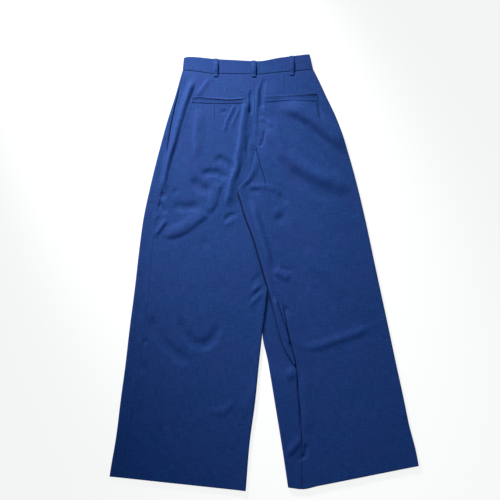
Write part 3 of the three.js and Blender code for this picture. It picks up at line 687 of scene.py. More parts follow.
def closed_shell(
    name: str, outer: Array, inner: Array, cut: Array, tucked: Array,
) -> Piece:
    """Makes a closed thin shell between two grids of points.

    Args:
        name: name of the piece.
        outer: outer face, rows by columns by 3, in mm.
        inner: inner face, the same shape.
        cut: place of each point on the cut cloth, rows by columns by 2, in mm.
        tucked: painted shade on each point of the outer face, from 0 to 1, deepest in seams.

    Returns:
        The new object, at the origin.
    """
    rows, columns = outer.shape[:2]
    points = np.concatenate([outer.reshape(-1, 3), inner.reshape(-1, 3)]) * MM
    ids = np.arange(rows * columns).reshape(rows, columns)
    under = ids + rows * columns
    top = np.stack([ids[:-1, :-1], ids[:-1, 1:], ids[1:, 1:], ids[1:, :-1]], -1).reshape(-1, 4)
    low = top[:, ::-1] + rows * columns
    sides = [
        np.stack([under[:-1, 0], ids[:-1, 0], ids[1:, 0], under[1:, 0]], -1),
        np.stack([ids[:-1, -1], under[:-1, -1], under[1:, -1], ids[1:, -1]], -1),
        np.stack([under[0, :-1], under[0, 1:], ids[0, 1:], ids[0, :-1]], -1),
        np.stack([ids[-1, :-1], ids[-1, 1:], under[-1, 1:], under[-1, :-1]], -1),
    ]
    quads = np.concatenate([top, low, *sides])
    a, b, c, d = (points[quads[:, i]] for i in range(4))
    volume = np.sum(a * np.cross(b, c)) + np.sum(a * np.cross(c, d))
    if volume < 0:
        quads = quads[:, ::-1]
    mesh = bpy.data.meshes.new(name)
    mesh.from_pydata(points.tolist(), [], quads.tolist())
    layer = mesh.uv_layers.new(name="cut")
    uv = np.concatenate([cut.reshape(-1, 2)] * 2) * MM
    corners = np.empty(len(mesh.loops), dtype=np.int32)
    mesh.loops.foreach_get("vertex_index", corners)
    layer.data.foreach_set("uv", uv[corners].ravel())
    # Painted shade: as given on the outer face, full on the hidden inner face
    note_tucked(mesh, np.concatenate([tucked.ravel(), np.ones(rows * columns)]))
    mesh.update()
    piece = bpy.data.objects.new(name, mesh)
    bpy.context.scene.collection.objects.link(piece)
    make_active(piece)
    bpy.ops.object.shade_smooth_by_angle(angle=math.radians(50))
    return piece


def stations(bands: Sequence[tuple[float, float, float]]) -> Array:
    """Rows along the garment.

    Args:
        bands: from, to and step of each stretch, from the waist down.

    Returns:
        The stations, falling.
    """
    out = [bands[0][0]]
    for start, end, step in bands:
        count = max(1, math.ceil((start - end) / step))
        out += [start + (end - start) * (i + 1) / count for i in range(count)]
    return np.array(out)


BACK_ROWS = stations((
    (500, 492, 1.2), (492, 442, 3.4), (442, 412, 1.6), (412, 180, 3.3), (180, -484, 4.2),
    (-484, -493, 1.5), (-493, -545, 4.2), (-545, -550, 0.9)))


# Shares of a panel's width where its columns stand closest, beside the seam
NEAR_SEAM = (0, 0.0016, 0.0034, 0.0056, 0.0082, 0.0115, 0.016)


def shares(count: int) -> Array:
    """Even shares of a whole, up to 1 and without 0."""
    return np.arange(1, count + 1) / count


def unshaded(x: Array, station: Array) -> Array:
    """No shade anywhere."""
    return np.zeros_like(x)


@dataclass
class Bend:
    """How a panel's edge bends round, with a row for each station.

    Args:
        start: where the bend leaves the main layer.
        angle: how far it turns in all, in radians.
        theta: how far it has turned at each step.
        dx: how far each step reaches past the start.
        dz: how far each step rises.
        blend: 1 where the edge turns right round to the other layer, 0 where it only hangs.
        rest: length that hangs past the bend where it doesn't turn right round.
        scale: how far the bend is stretched to meet the other layer.
    """

    start: Array
    angle: Array
    theta: Array
    dx: Array
    dz: Array
    blend: Array
    rest: Array
    scale: Array


@dataclass
class ClothPanel:
    """One cut piece of cloth with an edge bent round to the other layer.

    Args:
        side: which way its bent edge faces, and main the layer that its main part lies in.
        main_end: seam where the main part ends, edge the bent edge, and return_end where the
            part past the bend ends, all by station.
        main_top: upper face of the main part, and other_top that past the bend.
        grain: where the cloth's grain line lies at the waist and at the hem.
        turn: how far the edge turns round, from 0 to 1, and hang the length that hangs if not.
        half: how far its outer face lies from the middle of the wall.
        least_bend: smallest radius of the bend, and least_turn the least of it that is cloth.
        edge_columns: how far the last columns stand from the bend.
    """

    name: str
    side: Side
    main: Layer
    main_end: Along
    edge: Along
    return_end: Along
    main_top: Height
    other_top: Height
    outline: Outline
    grain: tuple[float, float]
    rows: Array = field(default_factory=lambda: BACK_ROWS)
    turn: Along = np.ones_like
    columns: int = 120
    half: float = 0.6
    thickness: float = 0.6
    hem_extra: float = 0.45
    least_bend: float = 0.85
    least_turn: float = 0.35
    hang: float = 0.8
    bend_steps: int = 8
    return_steps: int = 8
    seam_depth: Along = np.ones_like
    # Painted shade that darkens the colour, from 0 to 1: seam_dark, top_shade and return_shade here,
    # seam_shade, shade_reach, bend_shade, waist_shade and hem_shade below
    seam_dark: Along = np.ones_like
    top_shade: Height = unshaded
    return_shade: Height = unshaded
    edge_columns: tuple[float, ...] = (0.0,)
    seam_roll: float = 0.8
    roll_reach: float = 3.0
    seam_shade: float = 0.75
    shade_reach: float = 2.1
    bend_shade: float = 0.0
    waist_gap: float = 0.15
    waist_roll: float = 0.5
    hem_roll: float = 0.55
    hem_step: float = 0.22
    waist_shade: float = 0.85
    hem_shade: float = 0.18

    def bend_round(self) -> Bend:
        """Works out how the edge bends round.

        Returns:
            The bend.
        """
        side, up, s = self.side.value, self.main.value, self.rows
        edge, turned = self.edge(s), self.turn(s)
        apart = (self.other_top(edge, s) - self.main_top(edge, s)) * up
        bend = np.maximum(apart / 2, self.least_bend)
        angle = np.pi * turned
        arc = np.pi * bend * np.maximum(turned, self.least_turn)
        step = shares(self.bend_steps)
        theta = angle[:, None] * step
        radius = arc / np.maximum(angle, 1e-6)
        flat = angle[:, None] < 1e-5
        dx = np.where(flat, arc[:, None] * step, radius[:, None] * np.sin(theta))
        dz = np.where(flat, 0.0, radius[:, None] * (1 - np.cos(theta)))
        blend = smooth(0.85, 1.0, turned)
        rest = self.hang * (1 - blend)
        farthest = (dx + self.half * np.sin(theta)).max(axis=1)
        start = edge - side * (farthest + rest * np.maximum(np.cos(angle), 0))
        gap = (self.other_top(start, s) - self.main_top(start, s)) * up / (2 * bend)
        return Bend(start, angle, theta, dx, dz, blend, rest, lerp(1.0, gap, blend))

    def in_seam(self, distance: Array) -> tuple[Array, Array]:
        """Reads how the cloth lies near its seam.

        Args:
            distance: how far each point is from the seam, rows by columns.

        Returns:
            How far each point rolls in, and how deep it lies in the seam's shade.
        """
        depth, dark = self.seam_depth(self.rows)[:, None], self.seam_dark(self.rows)[:, None]
        rolled = depth * self.seam_roll * bump(distance / self.roll_reach)
        return rolled, self.seam_shade * dark * bump(distance / self.shade_reach)

    def lay_main(self, start: Array) -> tuple[Array, Array, Array]:
        """Lays the main part, from its seam to where the bend starts.

        Args:
            start: where the bend starts, for each row.

        Returns:
            Places across, heights and how deep each point lies in shade.
        """
        end = self.main_end(self.rows)[:, None]
        width = np.abs(start[:, None] - end)
        squeeze = np.minimum(1, 0.5 * width / max(self.edge_columns[0], 1.0))
        close = 1 - np.array(self.edge_columns) * squeeze / width
        near = np.broadcast_to(NEAR_SEAM[:-1], (len(self.rows), len(NEAR_SEAM) - 1))
        middle = lerp(NEAR_SEAM[-1], close[:, :1], np.linspace(0, 1, self.columns))
        x = lerp(end, start[:, None], np.concatenate([near, middle, close[:, 1:]], axis=1))
        station = np.broadcast_to(self.rows[:, None], x.shape)
        z = self.main_top(x, station) - self.half
        shade = self.top_shade(x, station)
        if self.main is Layer.FLOOR:
            return x, z, shade
        rolled, dark = self.in_seam(x - end)
        return x, z - rolled, np.maximum(shade, dark)

    def lay_return(self, bend: Bend, z_end: Array) -> tuple[Array, Array, Array]:
        """Lays the part past the bend, which hangs where the edge doesn't turn right round.

        Args:
            bend: the bend.
            z_end: height where the bend ends, for each row.

        Returns:
            Places across, heights and how deep each point lies in shade.
        """
        side, up, blend = self.side.value, self.main.value, bend.blend[:, None]
        end = self.return_end(self.rows)
        share = 1 - (1 - shares(self.return_steps)) ** 1.6
        full = ((end - bend.start) * side - bend.dx[:, -1])[:, None] * share
        hang = (np.cos(bend.angle) * bend.rest)[:, None] * share
        x = bend.start[:, None] + side * (bend.dx[:, -1:] + lerp(hang, full, blend))
        station = np.broadcast_to(self.rows[:, None], x.shape)
        z_hang = z_end + up * (np.sin(bend.angle) * bend.rest)[:, None] * share
        z = lerp(z_hang, self.other_top(x, station) - self.half, blend)
        if self.main is Layer.TOP:
            return x, z, np.broadcast_to(blend, x.shape)
        rolled, dark = self.in_seam(x - end[:, None])
        return x, z - rolled * blend, np.maximum(dark * blend, self.return_shade(x, station))

    def grids(self) -> tuple[Array, Array, Array, Array]:
        """Works out both faces of the panel and its place on the cut cloth.

        Returns:
            Outer face, inner face, cut and the painted shade of each point, as grids of rows by columns.
        """
        side, up = self.side.value, self.main.value
        bend = self.bend_round()
        x_main, z_main, shade_main = self.lay_main(bend.start)
        z_start = (self.main_top(bend.start, self.rows) - self.half)[:, None]
        x_bend = bend.start[:, None] + side * bend.dx
        z_bend = z_start + up * bend.dz * bend.scale[:, None]
        shade_bend = np.broadcast_to(
            self.bend_shade * smooth(0.2, 0.75, shares(self.bend_steps)), x_bend.shape)
        x_back, z_back, shade_back = self.lay_return(bend, z_bend[:, -1:])
        x = np.concatenate([x_main, x_bend, x_back], axis=1)
        z = np.concatenate([z_main, z_bend, z_back], axis=1)
        shade = np.concatenate([shade_main, shade_bend, shade_back], axis=1)
        turned_back = np.broadcast_to(bend.angle[:, None], x_back.shape)
        angles = np.concatenate([np.zeros_like(x_main), bend.theta, turned_back], axis=1)

        station = np.broadcast_to(self.rows[:, None], x.shape)
        below_waist, over_hem = WAIST_STATION - station, station - HEM_STATION
        y = self.outline.y(x, station) - self.waist_gap * (below_waist <= 0)
        rolled = self.hem_roll * bump(over_hem / 1.8) + self.waist_roll * bump(below_waist / 3.0)
        rolled = rolled - self.hem_step * smooth(HEM_DEPTH + 2, HEM_DEPTH - 2, over_hem)
        lowered = rolled * smooth(1.8, 2.6, z)
        nx, nz = side * np.sin(angles), -up * np.cos(angles)
        outer = np.stack([x + nx * self.half, y, z + nz * self.half - lowered], -1)
        inward = self.half - self.thickness - self.hem_extra * (over_hem < HEM_DEPTH)
        inner = np.stack([x + nx * inward, y, z + nz * inward - lowered], -1)

        run = np.cumsum(np.hypot(np.diff(x, axis=1), np.diff(z, axis=1)), axis=1)
        run = np.concatenate([np.zeros((len(x), 1)), run], axis=1)
        along = (self.rows - HEM_STATION) / (WAIST_STATION - HEM_STATION)
        axis = lerp(self.grain[1], self.grain[0], along)
        cut = np.stack([(self.main_end(self.rows) - axis)[:, None] + side * run, station], -1)
        # Painted shade along the waist seam and along the line of the hem's turned edge
        at_waist = self.waist_shade * bump(below_waist / 1.8)
        hem_line = self.hem_shade * bump((over_hem - HEM_DEPTH) / 2.2)
        return outer, inner, cut, np.maximum(shade, np.maximum(at_waist, hem_line))

    def build(self) -> Piece:
        """Makes the panel's shell."""
        return closed_shell(self.name, *self.grids())


@dataclass
class Legs:
    """The four leg panels and the fold of the right leg."""

    outline: Outline
    lay: Lay
    left_grain: tuple[float, float] = (-118.0, -208.0)
    right_grain: tuple[float, float] = (55.0, 225.0)
    seam_gap: float = 0.06

    def upper_inseam(self, s: Array) -> Array:
        """1 on the right inseam between the crotch and the fold's tip, where it shows as a groove."""
        return smooth(190, 206, s) * (s <= CROTCH_STATION)

    def lower_inseam(self, s: Array) -> Array:
        """1 on the right inseam from the knee down, where the fold runs out into a crease."""
        return smooth(-96, -124, s) * smooth(-490, -430, s)

    def inseam_depth(self, s: Array) -> Array:
        """How deep the right inseam and, over the crotch, the centre seam are sewn in."""
        return 0.1 + 0.9 * self.upper_inseam(s) + 1.6 * self.lower_inseam(s) + 0.8 * (s > CROTCH_STATION)

    def inseam_dark(self, s: Array) -> Array:
        """How much painted shade the same seams get."""
        return 0.06 + 1.1 * self.upper_inseam(s) + 1.3 * self.lower_inseam(s)

    def outseam_depth(self, s: Array) -> Array:
        """How deep the left side seam is, deepest along its pocket."""
        return 0.4 + 1.55 * smooth(270, 300, s) * smooth(462, 440, s)

    def outseam_dark(self, s: Array) -> Array:
        """How much painted shade the left side seam gets, most along its pocket."""
        return 0.3 + 1.05 * smooth(280, 300, s) * smooth(462, 440, s)

    def panels(self) -> list[tuple[ClothPanel, str]]:
        """Lays out every panel.

        Returns:
            Each panel with the CAD node that it stands for.
        """
        o, lay, gap = self.outline, self.lay, self.seam_gap
        return [
            (ClothPanel(
                "front_left_cloth", Side.LEFT, Layer.FLOOR,
                main_end=lambda s: np.where(
                    s < CROTCH_STATION,
                    o.line("inner_left", s) - np.maximum(o.line("return_left", s) + gap, 3.0),
                    o.centre(s) - gap / 2),
                edge=lambda s: o.line("outer_left", s),
                return_end=lambda s: o.line("seam_left", s) - gap / 2,
                seam_depth=self.outseam_depth, seam_dark=self.outseam_dark,
                main_top=lay.front, other_top=lay.top,
                outline=o, grain=self.left_grain, rows=BACK_ROWS[::2], columns=64, return_steps=26),
             "front_left"),
            (ClothPanel(
                "front_right_cloth", Side.LEFT, Layer.FLOOR,
                main_end=lambda s: o.line("outer_right", s) - o.line("return_right", s) - gap,
                edge=lambda s: o.inner_right(s) + np.where(s < CROTCH_STATION, -0.25, gap / 2),
                return_end=lambda s: np.where(
                    s > FOLD_BOTTOM,
                    np.minimum(o.fold_edge(s) + 13, o.inseam(s) - gap / 2),
                    o.inseam(s) - gap / 2),
                turn=lambda s: 1 - smooth(-58, -30, s), main_top=lay.front, other_top=lay.front_right,
                return_shade=lay.wedge_shade,
                outline=o, grain=self.right_grain, rows=BACK_ROWS[::2], columns=64, return_steps=26),
             "front_right"),
            (ClothPanel(
                "back_left_cloth", Side.RIGHT, Layer.TOP,
                main_end=lambda s: o.line("seam_left", s) + gap / 2,
                seam_depth=self.outseam_depth, seam_dark=self.outseam_dark,
                edge=lambda s: o.line("inner_left", s) - np.where(s < CROTCH_STATION, 0.0, gap / 2),
                return_end=lambda s: o.line("inner_left", s) - o.line("return_left", s),
                turn=lambda s: 1 - smooth(262, 298, s), main_top=lay.back_left, other_top=lay.front,
                outline=o, grain=self.left_grain),
             "back_left"),
            (ClothPanel(
                "back_right_cloth", Side.RIGHT, Layer.TOP,
                main_end=lambda s: o.inseam(s) + gap / 2,
                seam_depth=self.inseam_depth, seam_dark=self.inseam_dark,
                edge=lambda s: o.line("outer_right", s),
                return_end=lambda s: o.line("outer_right", s) - o.line("return_right", s),
                main_top=lay.back_right, other_top=lay.front,
                outline=o, grain=self.right_grain),
             "back_right"),
            (ClothPanel(
                "right_leg_fold_cloth", Side.LEFT, Layer.TOP,
                main_end=lambda s: np.maximum(o.inseam(s) - gap / 2, o.fold_edge(s) + 3.2),
                edge=lambda s: o.fold_edge(s) - lay.fold_wall(s),
                return_end=lambda s: np.minimum(o.fold_edge(s) + 12, o.inseam(s) - 0.6),
                seam_depth=self.inseam_depth, seam_dark=self.inseam_dark,
                top_shade=lay.fold_shade, bend_shade=0.9,
                edge_columns=(9.0, 7.6, 6.4, 5.6, 5.0, 4.5, 4.0, 3.5, 3.0, 2.5, 2.0, 1.5, 1.0, 0.5, 0.0),
                main_top=lay.fold, other_top=lay.fold_under,
                outline=o, grain=self.right_grain,
                rows=stations(((FOLD_TOP, FOLD_BOTTOM, 2.8),)),
                columns=26, half=0.3, thickness=0.5, least_bend=0.36, return_steps=5),
             "right_leg_fold"),
        ]


@dataclass
class Waistband:
    """Waistband: one strip round the waist, its ends meeting at the centre of the front.

    Args:
        ends: left end at the seam and at the top, then the right end at both.
    """

    outline: Outline
    height: float = 41.0
    cloth: float = 2.0
    corner: float = 3.0
    lower: float = 2.8
    upper: float = 5.1
    ends: tuple[float, float, float, float] = (-213.5, -211.0, 133.5, 124.8)
    seam_gap: float = 0.3
    rows: int = 14
    front_columns: int = 40
    back_columns: int = 170
    bend_steps: int = 10
    waves: Drift = field(default_factory=lambda: Drift(30, 31))
    waver: float = 0.25

    def build(self) -> Piece:
        """Makes the waistband's shell.

        Returns:
            The waistband.
        """
        bend = (self.upper - self.lower) / 2
        reach = bend + self.cloth / 2
        centre = float(self.outline.centre(WAIST_STATION))
        theta = np.pi * np.arange(1, self.bend_steps) / self.bend_steps
        front, back = np.ones(self.front_columns), np.ones(self.back_columns)
        nx = np.concatenate([0 * front, -np.sin(theta), 0 * back, np.sin(theta), 0 * front])
        nz = np.concatenate([-front, -np.cos(theta), back, np.cos(theta), -front])
        rising = self.lower + bend * (1 - np.cos(theta))
        falling = self.upper - bend * (1 - np.cos(theta))
        z = np.concatenate([
            self.lower * front, rising, self.upper * back, falling, self.lower * front])
        outer, inner, cut, tucked = [], [], [], []
        across_all = np.concatenate([
            [0, 0.015, 0.04, 0.08], np.linspace(0.14, 0.9, self.rows), [0.94, 0.97, 0.99, 1.0]])
        for across in across_all:
            into_corner = max(0.0, 1 - (1 - across) * self.height / self.corner)
            rounded = self.corner * (1 - math.sqrt(1 - into_corner**2))
            left = lerp(self.ends[0], self.ends[1], across) + rounded
            right = lerp(self.ends[2], self.ends[3], across) - rounded
            run_left = np.linspace(centre - self.seam_gap / 2, left + reach, self.front_columns)
            run_top = np.linspace(left + reach, right - reach, self.back_columns)
            run_right = np.linspace(right - reach, centre + self.seam_gap / 2, self.front_columns)
            x = np.concatenate([
                run_left, left + reach - bend * np.sin(theta), run_top,
                right - reach + bend * np.sin(theta), run_right])
            rounding = min(across / 0.05, (1 - across) / 0.06, 1.0)
            half = self.cloth / 2 * (0.5 + 0.5 * math.sqrt(max(1 - (1 - rounding) ** 2, 0)))
            seam = self.outline.seam_y(x) + self.seam_gap / 2
            y = lerp(seam, self.outline.top_y(x), across)
            swell = self.waver * self.waves(x, y * 0.4) * math.sin(math.pi * across) * (nz > 0.9)
            outer.append(np.stack([x + nx * half, y, z + nz * half + swell], -1))
            inner.append(np.stack([x - nx * half, y, z - nz * half], -1))
            run = np.cumsum(np.hypot(np.diff(x, prepend=x[0]), np.diff(z, prepend=z[0])))
            cut.append(np.stack([run, np.full(x.shape, across * self.height)], -1))
            # Painted shade along the band's lower edge, by the waist seam
            tucked.append(np.full(x.shape, 0.8 * float(bump(across / 0.035))))
        return closed_shell("waistband_cloth", *(np.array(grid) for grid in (outer, inner, cut, tucked)))


def in_edit_mode(piece: Piece, steps: Callable[[], None]) -> None:
    """Runs operators on a piece in edit mode with all of it selected.

    Args:
        piece: the piece.
        steps: the operators.
    """
    make_active(piece)
    bpy.ops.object.mode_set(mode="EDIT")
    bpy.ops.mesh.select_all(action="SELECT")
    steps()
    bpy.ops.object.mode_set(mode="OBJECT")


def select_edges(piece: Piece, wanted: Callable[[Array, Array], bool]) -> None:
    """Selects edges of a piece in edit mode by their ends.

    Args:
        piece: the piece, in edit mode.
        wanted: says whether an edge with these two ends is selected.
    """
    bpy.ops.mesh.select_all(action="DESELECT")
    bpy.ops.mesh.select_mode(type="EDGE")
    shape = bmesh.from_edit_mesh(piece.data)
    for edge in shape.edges:
        ends = [np.array(v.co) for v in edge.verts]
        edge.select_set(bool(wanted(ends[0], ends[1])))
    bmesh.update_edit_mesh(piece.data)


def strip_blank(name: str, width: float, length: float, thickness: float, cuts: int) -> Piece:
    """Cuts a straight strip of doubled cloth, soft along its rims.

    Args:
        name: name of the piece.
        width: size across in mm.
        length: size along Y in mm.
        thickness: in mm.
        cuts: how often it is divided along its length.

    Returns:
        The strip, centred at the origin with its lower face at z = 0.
    """
    deselect()
    bpy.ops.mesh.primitive_cube_add(size=1.0, location=(0, 0, 0))
    piece = bpy.context.active_object
    piece.name = piece.data.name = name
    in_edit_mode(piece, lambda: bpy.ops.transform.resize(value=(width * MM, length * MM, thickness * MM)))

    def divide() -> None:
        """Divides the long edges, then those across."""
        select_edges(piece, lambda a, b: abs(a[1] - b[1]) > 0.9 * length * MM)
        bpy.ops.mesh.subdivide(number_cuts=cuts)
        select_edges(piece, lambda a, b: abs(a[0] - b[0]) > 0.9 * width * MM)
        bpy.ops.mesh.subdivide(number_cuts=5)
        bpy.ops.mesh.select_all(action="SELECT")
        bpy.ops.transform.translate(value=(0, 0, thickness * MM / 2))

    in_edit_mode(piece, divide)
    rim = piece.modifiers.new("rim", "BEVEL")
    rim.width, rim.segments, rim.limit_method = 0.3 * thickness * MM, 3, "ANGLE"
    make_active(piece)
    bpy.ops.object.modifier_apply(modifier="rim")
    bpy.ops.object.shade_smooth_by_angle(angle=math.radians(60))
    return piece


def move_points(
    piece: Piece, move: Callable[[Array], Array], tucked: Callable[[Array], Array],
) -> None:
    """Lays a piece in place point by point and keeps its cut size in a UV map.

    Args:
        piece: the piece, as it was cut.
        move: takes the cut points in mm and gives them laid down, in mm.
        tucked: takes the cut points and gives the painted shade of each, from 0 to 1, deepest in seams.
    """
    mesh = piece.data
    points = np.empty(len(mesh.vertices) * 3)
    mesh.vertices.foreach_get("co", points)
    points = points.reshape(-1, 3) / MM
    corners = np.empty(len(mesh.loops), dtype=np.int32)
    mesh.loops.foreach_get("vertex_index", corners)
    layer = mesh.uv_layers.get("cut") or mesh.uv_layers.new(name="cut")
    layer.data.foreach_set("uv", (points[corners][:, :2] * MM).ravel())
    for extra in [other for other in mesh.uv_layers if other.name != "cut"]:
        mesh.uv_layers.remove(extra)
    note_tucked(mesh, tucked(points))
    laid = move(points) * MM
    mesh.vertices.foreach_set("co", laid.ravel())
    mesh.update()


def even(points: Array) -> Array:
    """No shade on any point of a cut piece."""
    return np.zeros(len(points))


@dataclass
class Threads:
    """Short stitches that show: one stitch modelled and copied."""

    name: str
    length: float = 2.4
    thick: float = 0.42

    def build(self, places: Sequence[Stitch]) -> Piece:
        """Sews the stitches.

        Args:
            places: x, y, z and turn of each stitch, in mm and radians.

        Returns:
            All the stitches as one piece.
        """
        deselect()
        bpy.ops.mesh.primitive_uv_sphere_add(segments=8, ring_count=5, radius=0.5)
        piece = bpy.context.active_object
        piece.name = piece.data.name = self.name
        size = (self.length * MM, self.thick * MM, 0.8 * self.thick * MM)
        in_edit_mode(piece, lambda: bpy.ops.transform.resize(value=size))
        mesh = piece.data
        stitch = np.array([tuple(v.co) for v in mesh.vertices])
        faces = [tuple(p.vertices) for p in mesh.polygons]
        points, polygons = [], []
        for x, y, z, turn in places:
            across, down = math.cos(turn), math.sin(turn)
            spin = np.array([[across, -down, 0], [down, across, 0], [0, 0, 1]])
            base = len(points)
            points += (stitch @ spin.T + np.array([x, y, z]) * MM).tolist()
            polygons += [tuple(i + base for i in face) for face in faces]
        mesh.clear_geometry()
        mesh.from_pydata(points, [], polygons)
        mesh.update()
        make_active(piece)
        bpy.ops.object.shade_smooth()
        return piece


@dataclass
class BeltLoops:
    """Belt loops: narrow folded strips over the waistband, bar-tacked at both ends.

    Args:
        loops: CAD node, middle, top, bottom and whether it is on the back, for each loop.
    """

    outline: Outline
    width: float = 11.0
    cloth: float = 1.3
    arch: float = 1.8
    gap: float = 0.3
    back_face: float = 6.1
    front_face: float = 1.8
    tack_stitches: int = 8
    tack_step: float = 1.15
    tack_lean: float = 0.35
    loops: tuple[tuple[str, float, float, float, bool], ...] = (
        ("belt_loop_back_left", -125.5, 541.7, 491.6, True),
        ("belt_loop_back_centre", -24.8, 536.3, 491.4, True),
        ("belt_loop_back_right", 76.5, 549.5, 496.0, True),
        ("belt_loop_front_left", -150.0, 543.4, 496.0, False),
        ("belt_loop_front_right", 92.0, 550.9, 501.0, False),
    )

    def rise(self, share: Array, on_back: bool) -> Array:
        """How far a loop stands off the band along its length.

        Args:
            share: places along the loop, from 0 at its top to 1.
            on_back: whether the loop is on the back, where it stands off.

        Returns:
            The distance there, in mm.
        """
        if not on_back:
            return np.zeros_like(share)
        return self.arch * smooth(0.06, 0.4, share) * (1 - smooth(0.6, 0.94, share))

    def build(self) -> list[tuple[Piece, str, list[Stitch]]]:
        """Makes every loop.

        Returns:
            Each loop with its CAD node and the places of its bar tacks.
        """
        made = []
        for name, x, top, bottom, on_back in self.loops:
            length = top - bottom
            facing = 1.0 if on_back else -1.0
            base = self.back_face + self.gap if on_back else self.front_face - self.gap

            def lay_down(points: Array) -> Array:
                """Places the strip over the band and arches it.

                Args:
                    points: cut points in mm.

                Returns:
                    The points laid down, in mm.
                """
                share = 0.5 - points[:, 1] / length
                crown = 0.22 * bump(points[:, 0] / (0.55 * self.width)) * (0.3 + self.rise(share, on_back))
                z = base + facing * (points[:, 2] + self.rise(share, on_back) + crown)
                lean = 0.5 * np.sin(3.1 * share)
                return np.stack([points[:, 0] + x + lean, points[:, 1] + (top + bottom) / 2, z], -1)

            def beside(points: Array) -> Array:
                """Darkens the loop's lower face and its right rim, which lie in its own shade."""
                return 1.0 * ((points[:, 2] < 0.5 * self.cloth) | (points[:, 0] > 0.47 * self.width))

            blank = strip_blank(f"{name}_cloth", self.width, length, self.cloth, 26)
            move_points(blank, lay_down, beside)
            if not on_back:
                blank.data.flip_normals()
            tacks = []
            for y in (top - 3.2, bottom + 2.6):
                for i in range(self.tack_stitches):
                    place = x + 0.4 + (i - (self.tack_stitches - 1) / 2) * self.tack_step
                    share = (top - y) / length
                    z = base + facing * (self.cloth + float(self.rise(np.array(share), on_back)) + 0.02)
                    tacks.append((place, y, z, math.pi / 2 + (self.tack_lean if i % 2 else -self.tack_lean)))
            made.append((blank, name, tacks))
        return made


@dataclass(frozen=True)
class Pocket:
    """One back pocket's lines, in mm.

    Args:
        node: CAD node of its welt.
        mouth: points of the mouth, from left to right.
        low: points of the welt's lower edge.
        open: how wide the mouth stands open at its start, middle and end.
        low_shade: painted shade on the welt's lower face and lower edge, from 0 to 1.
    """

    node: str
    mouth: tuple[tuple[float, float], ...]
    low: tuple[tuple[float, float], ...]
    open: tuple[float, float, float]
    low_shade: float


@dataclass
class Pockets:
    """Back pockets: a welt under each mouth, and a near-black strip of pocketing in each mouth, whose colour
    paints the shade inside the slit.
    """

    outline: Outline
    lay: Lay
    height: float = 9.5
    cloth: float = 0.7
    gap: float = 0.2
    lip: float = 0.35
    tack_stitches: int = 6
    tack_step: float = 1.45
    tack_lean: float = 0.25
    pockets: tuple[Pocket, ...] = (
        Pocket("welt_back_left",
               ((-188, 427), (-169, 430), (-130, 426.6), (-92, 424), (-60, 426), (-45, 428.5)),
               ((-188, 417.5), (-120, 417), (-45, 418.5)), (1.4, 2.8, 2.2), 0.15),
        Pocket("welt_back_right",
               ((-0.5, 431.5), (40, 433.6), (72, 434.6), (110, 434.2), (142.5, 433)),
               ((-0.5, 420.8), (72, 423.4), (142.5, 420)), (0.5, 0.8, 4.4), 0.45),
    )

    def build(self) -> list[tuple[Piece, Piece, str, list[Stitch]]]:
        """Makes both pockets.

        Returns:
            Each welt and mouth with the welt's CAD node and the places of the end tacks.
        """
        made = []
        for pocket in self.pockets:
            start, end = pocket.mouth[0][0], pocket.mouth[-1][0]
            length = end - start
            upper, lower = Curve(pocket.mouth), Curve(pocket.low)
            opening = Curve(list(zip((start, (start + end) / 2, end), pocket.open)))
            face = self.lay.back_left if end < 0 else self.lay.back_right

            def lay_welt(points: Array) -> Array:
                """Turns the strip across the panel and lays it on the panel's face.

                Args:
                    points: cut points in mm.

                Returns:
                    The points laid down, in mm.
                """
                x = np.clip(points[:, 1] + (start + end) / 2, start, end)
                down = 0.5 - points[:, 0] / self.height
                station = lerp(upper(x), lower(x), down)
                lip = self.lip * bump(down / 0.4)
                z = face(x, station) + self.gap + points[:, 2] + lip * (points[:, 2] > 0.2)
                return np.stack([x, self.outline.y(x, station), z], -1)

            def lay_mouth(points: Array) -> Array:
                """Lays the strip of pocketing along the mouth, just over the welt's upper edge.

                Args:
                    points: cut points in mm.

                Returns:
                    The points laid down, in mm.
                """
                x = np.clip(points[:, 1] + (start + end) / 2, start + 0.6, end - 0.6)
                station = upper(x) + 0.15 + opening(x) * (points[:, 0] + 0.5)
                z = face(x, station) + 0.05 + points[:, 2]
                return np.stack([x, self.outline.y(x, station), z], -1)

            def shade_under_welt(points: Array) -> Array:
                """Paints shade on the welt's lower face and on its lower edge, where it is sewn to the panel.
                """
                below = points[:, 2] < 0.5 * self.cloth
                return pocket.low_shade * (below | (points[:, 0] < -0.485 * self.height))

            welt = strip_blank(f"{pocket.node}_cloth", self.height, length, self.cloth, 90)
            move_points(welt, lay_welt, shade_under_welt)
            welt.data.flip_normals()
            # Near-black pocketing along the mouth: the pocketing the mouth shows, darkened as painted shade
            # of the open slit
            mouth = strip_blank(f"{pocket.node.replace('welt', 'mouth')}_pocketing", 1.0, length, 0.3, 70)
            move_points(mouth, lay_mouth, even)
            mouth.data.flip_normals()
            tacks = []
            for x in (start + 0.8, end - 0.8):
                for i in range(self.tack_stitches):
                    station = float(upper(x)) - 1.0 - i * self.tack_step
                    z = float(face(np.array([x]), np.array([station]))[0]) + self.gap + self.cloth + 0.1
                    lean = self.tack_lean if i % 2 else -self.tack_lean
                    tacks.append((x, float(self.outline.y(x, station)), z, lean))
            made.append((welt, mouth, pocket.node, tacks))
        return made


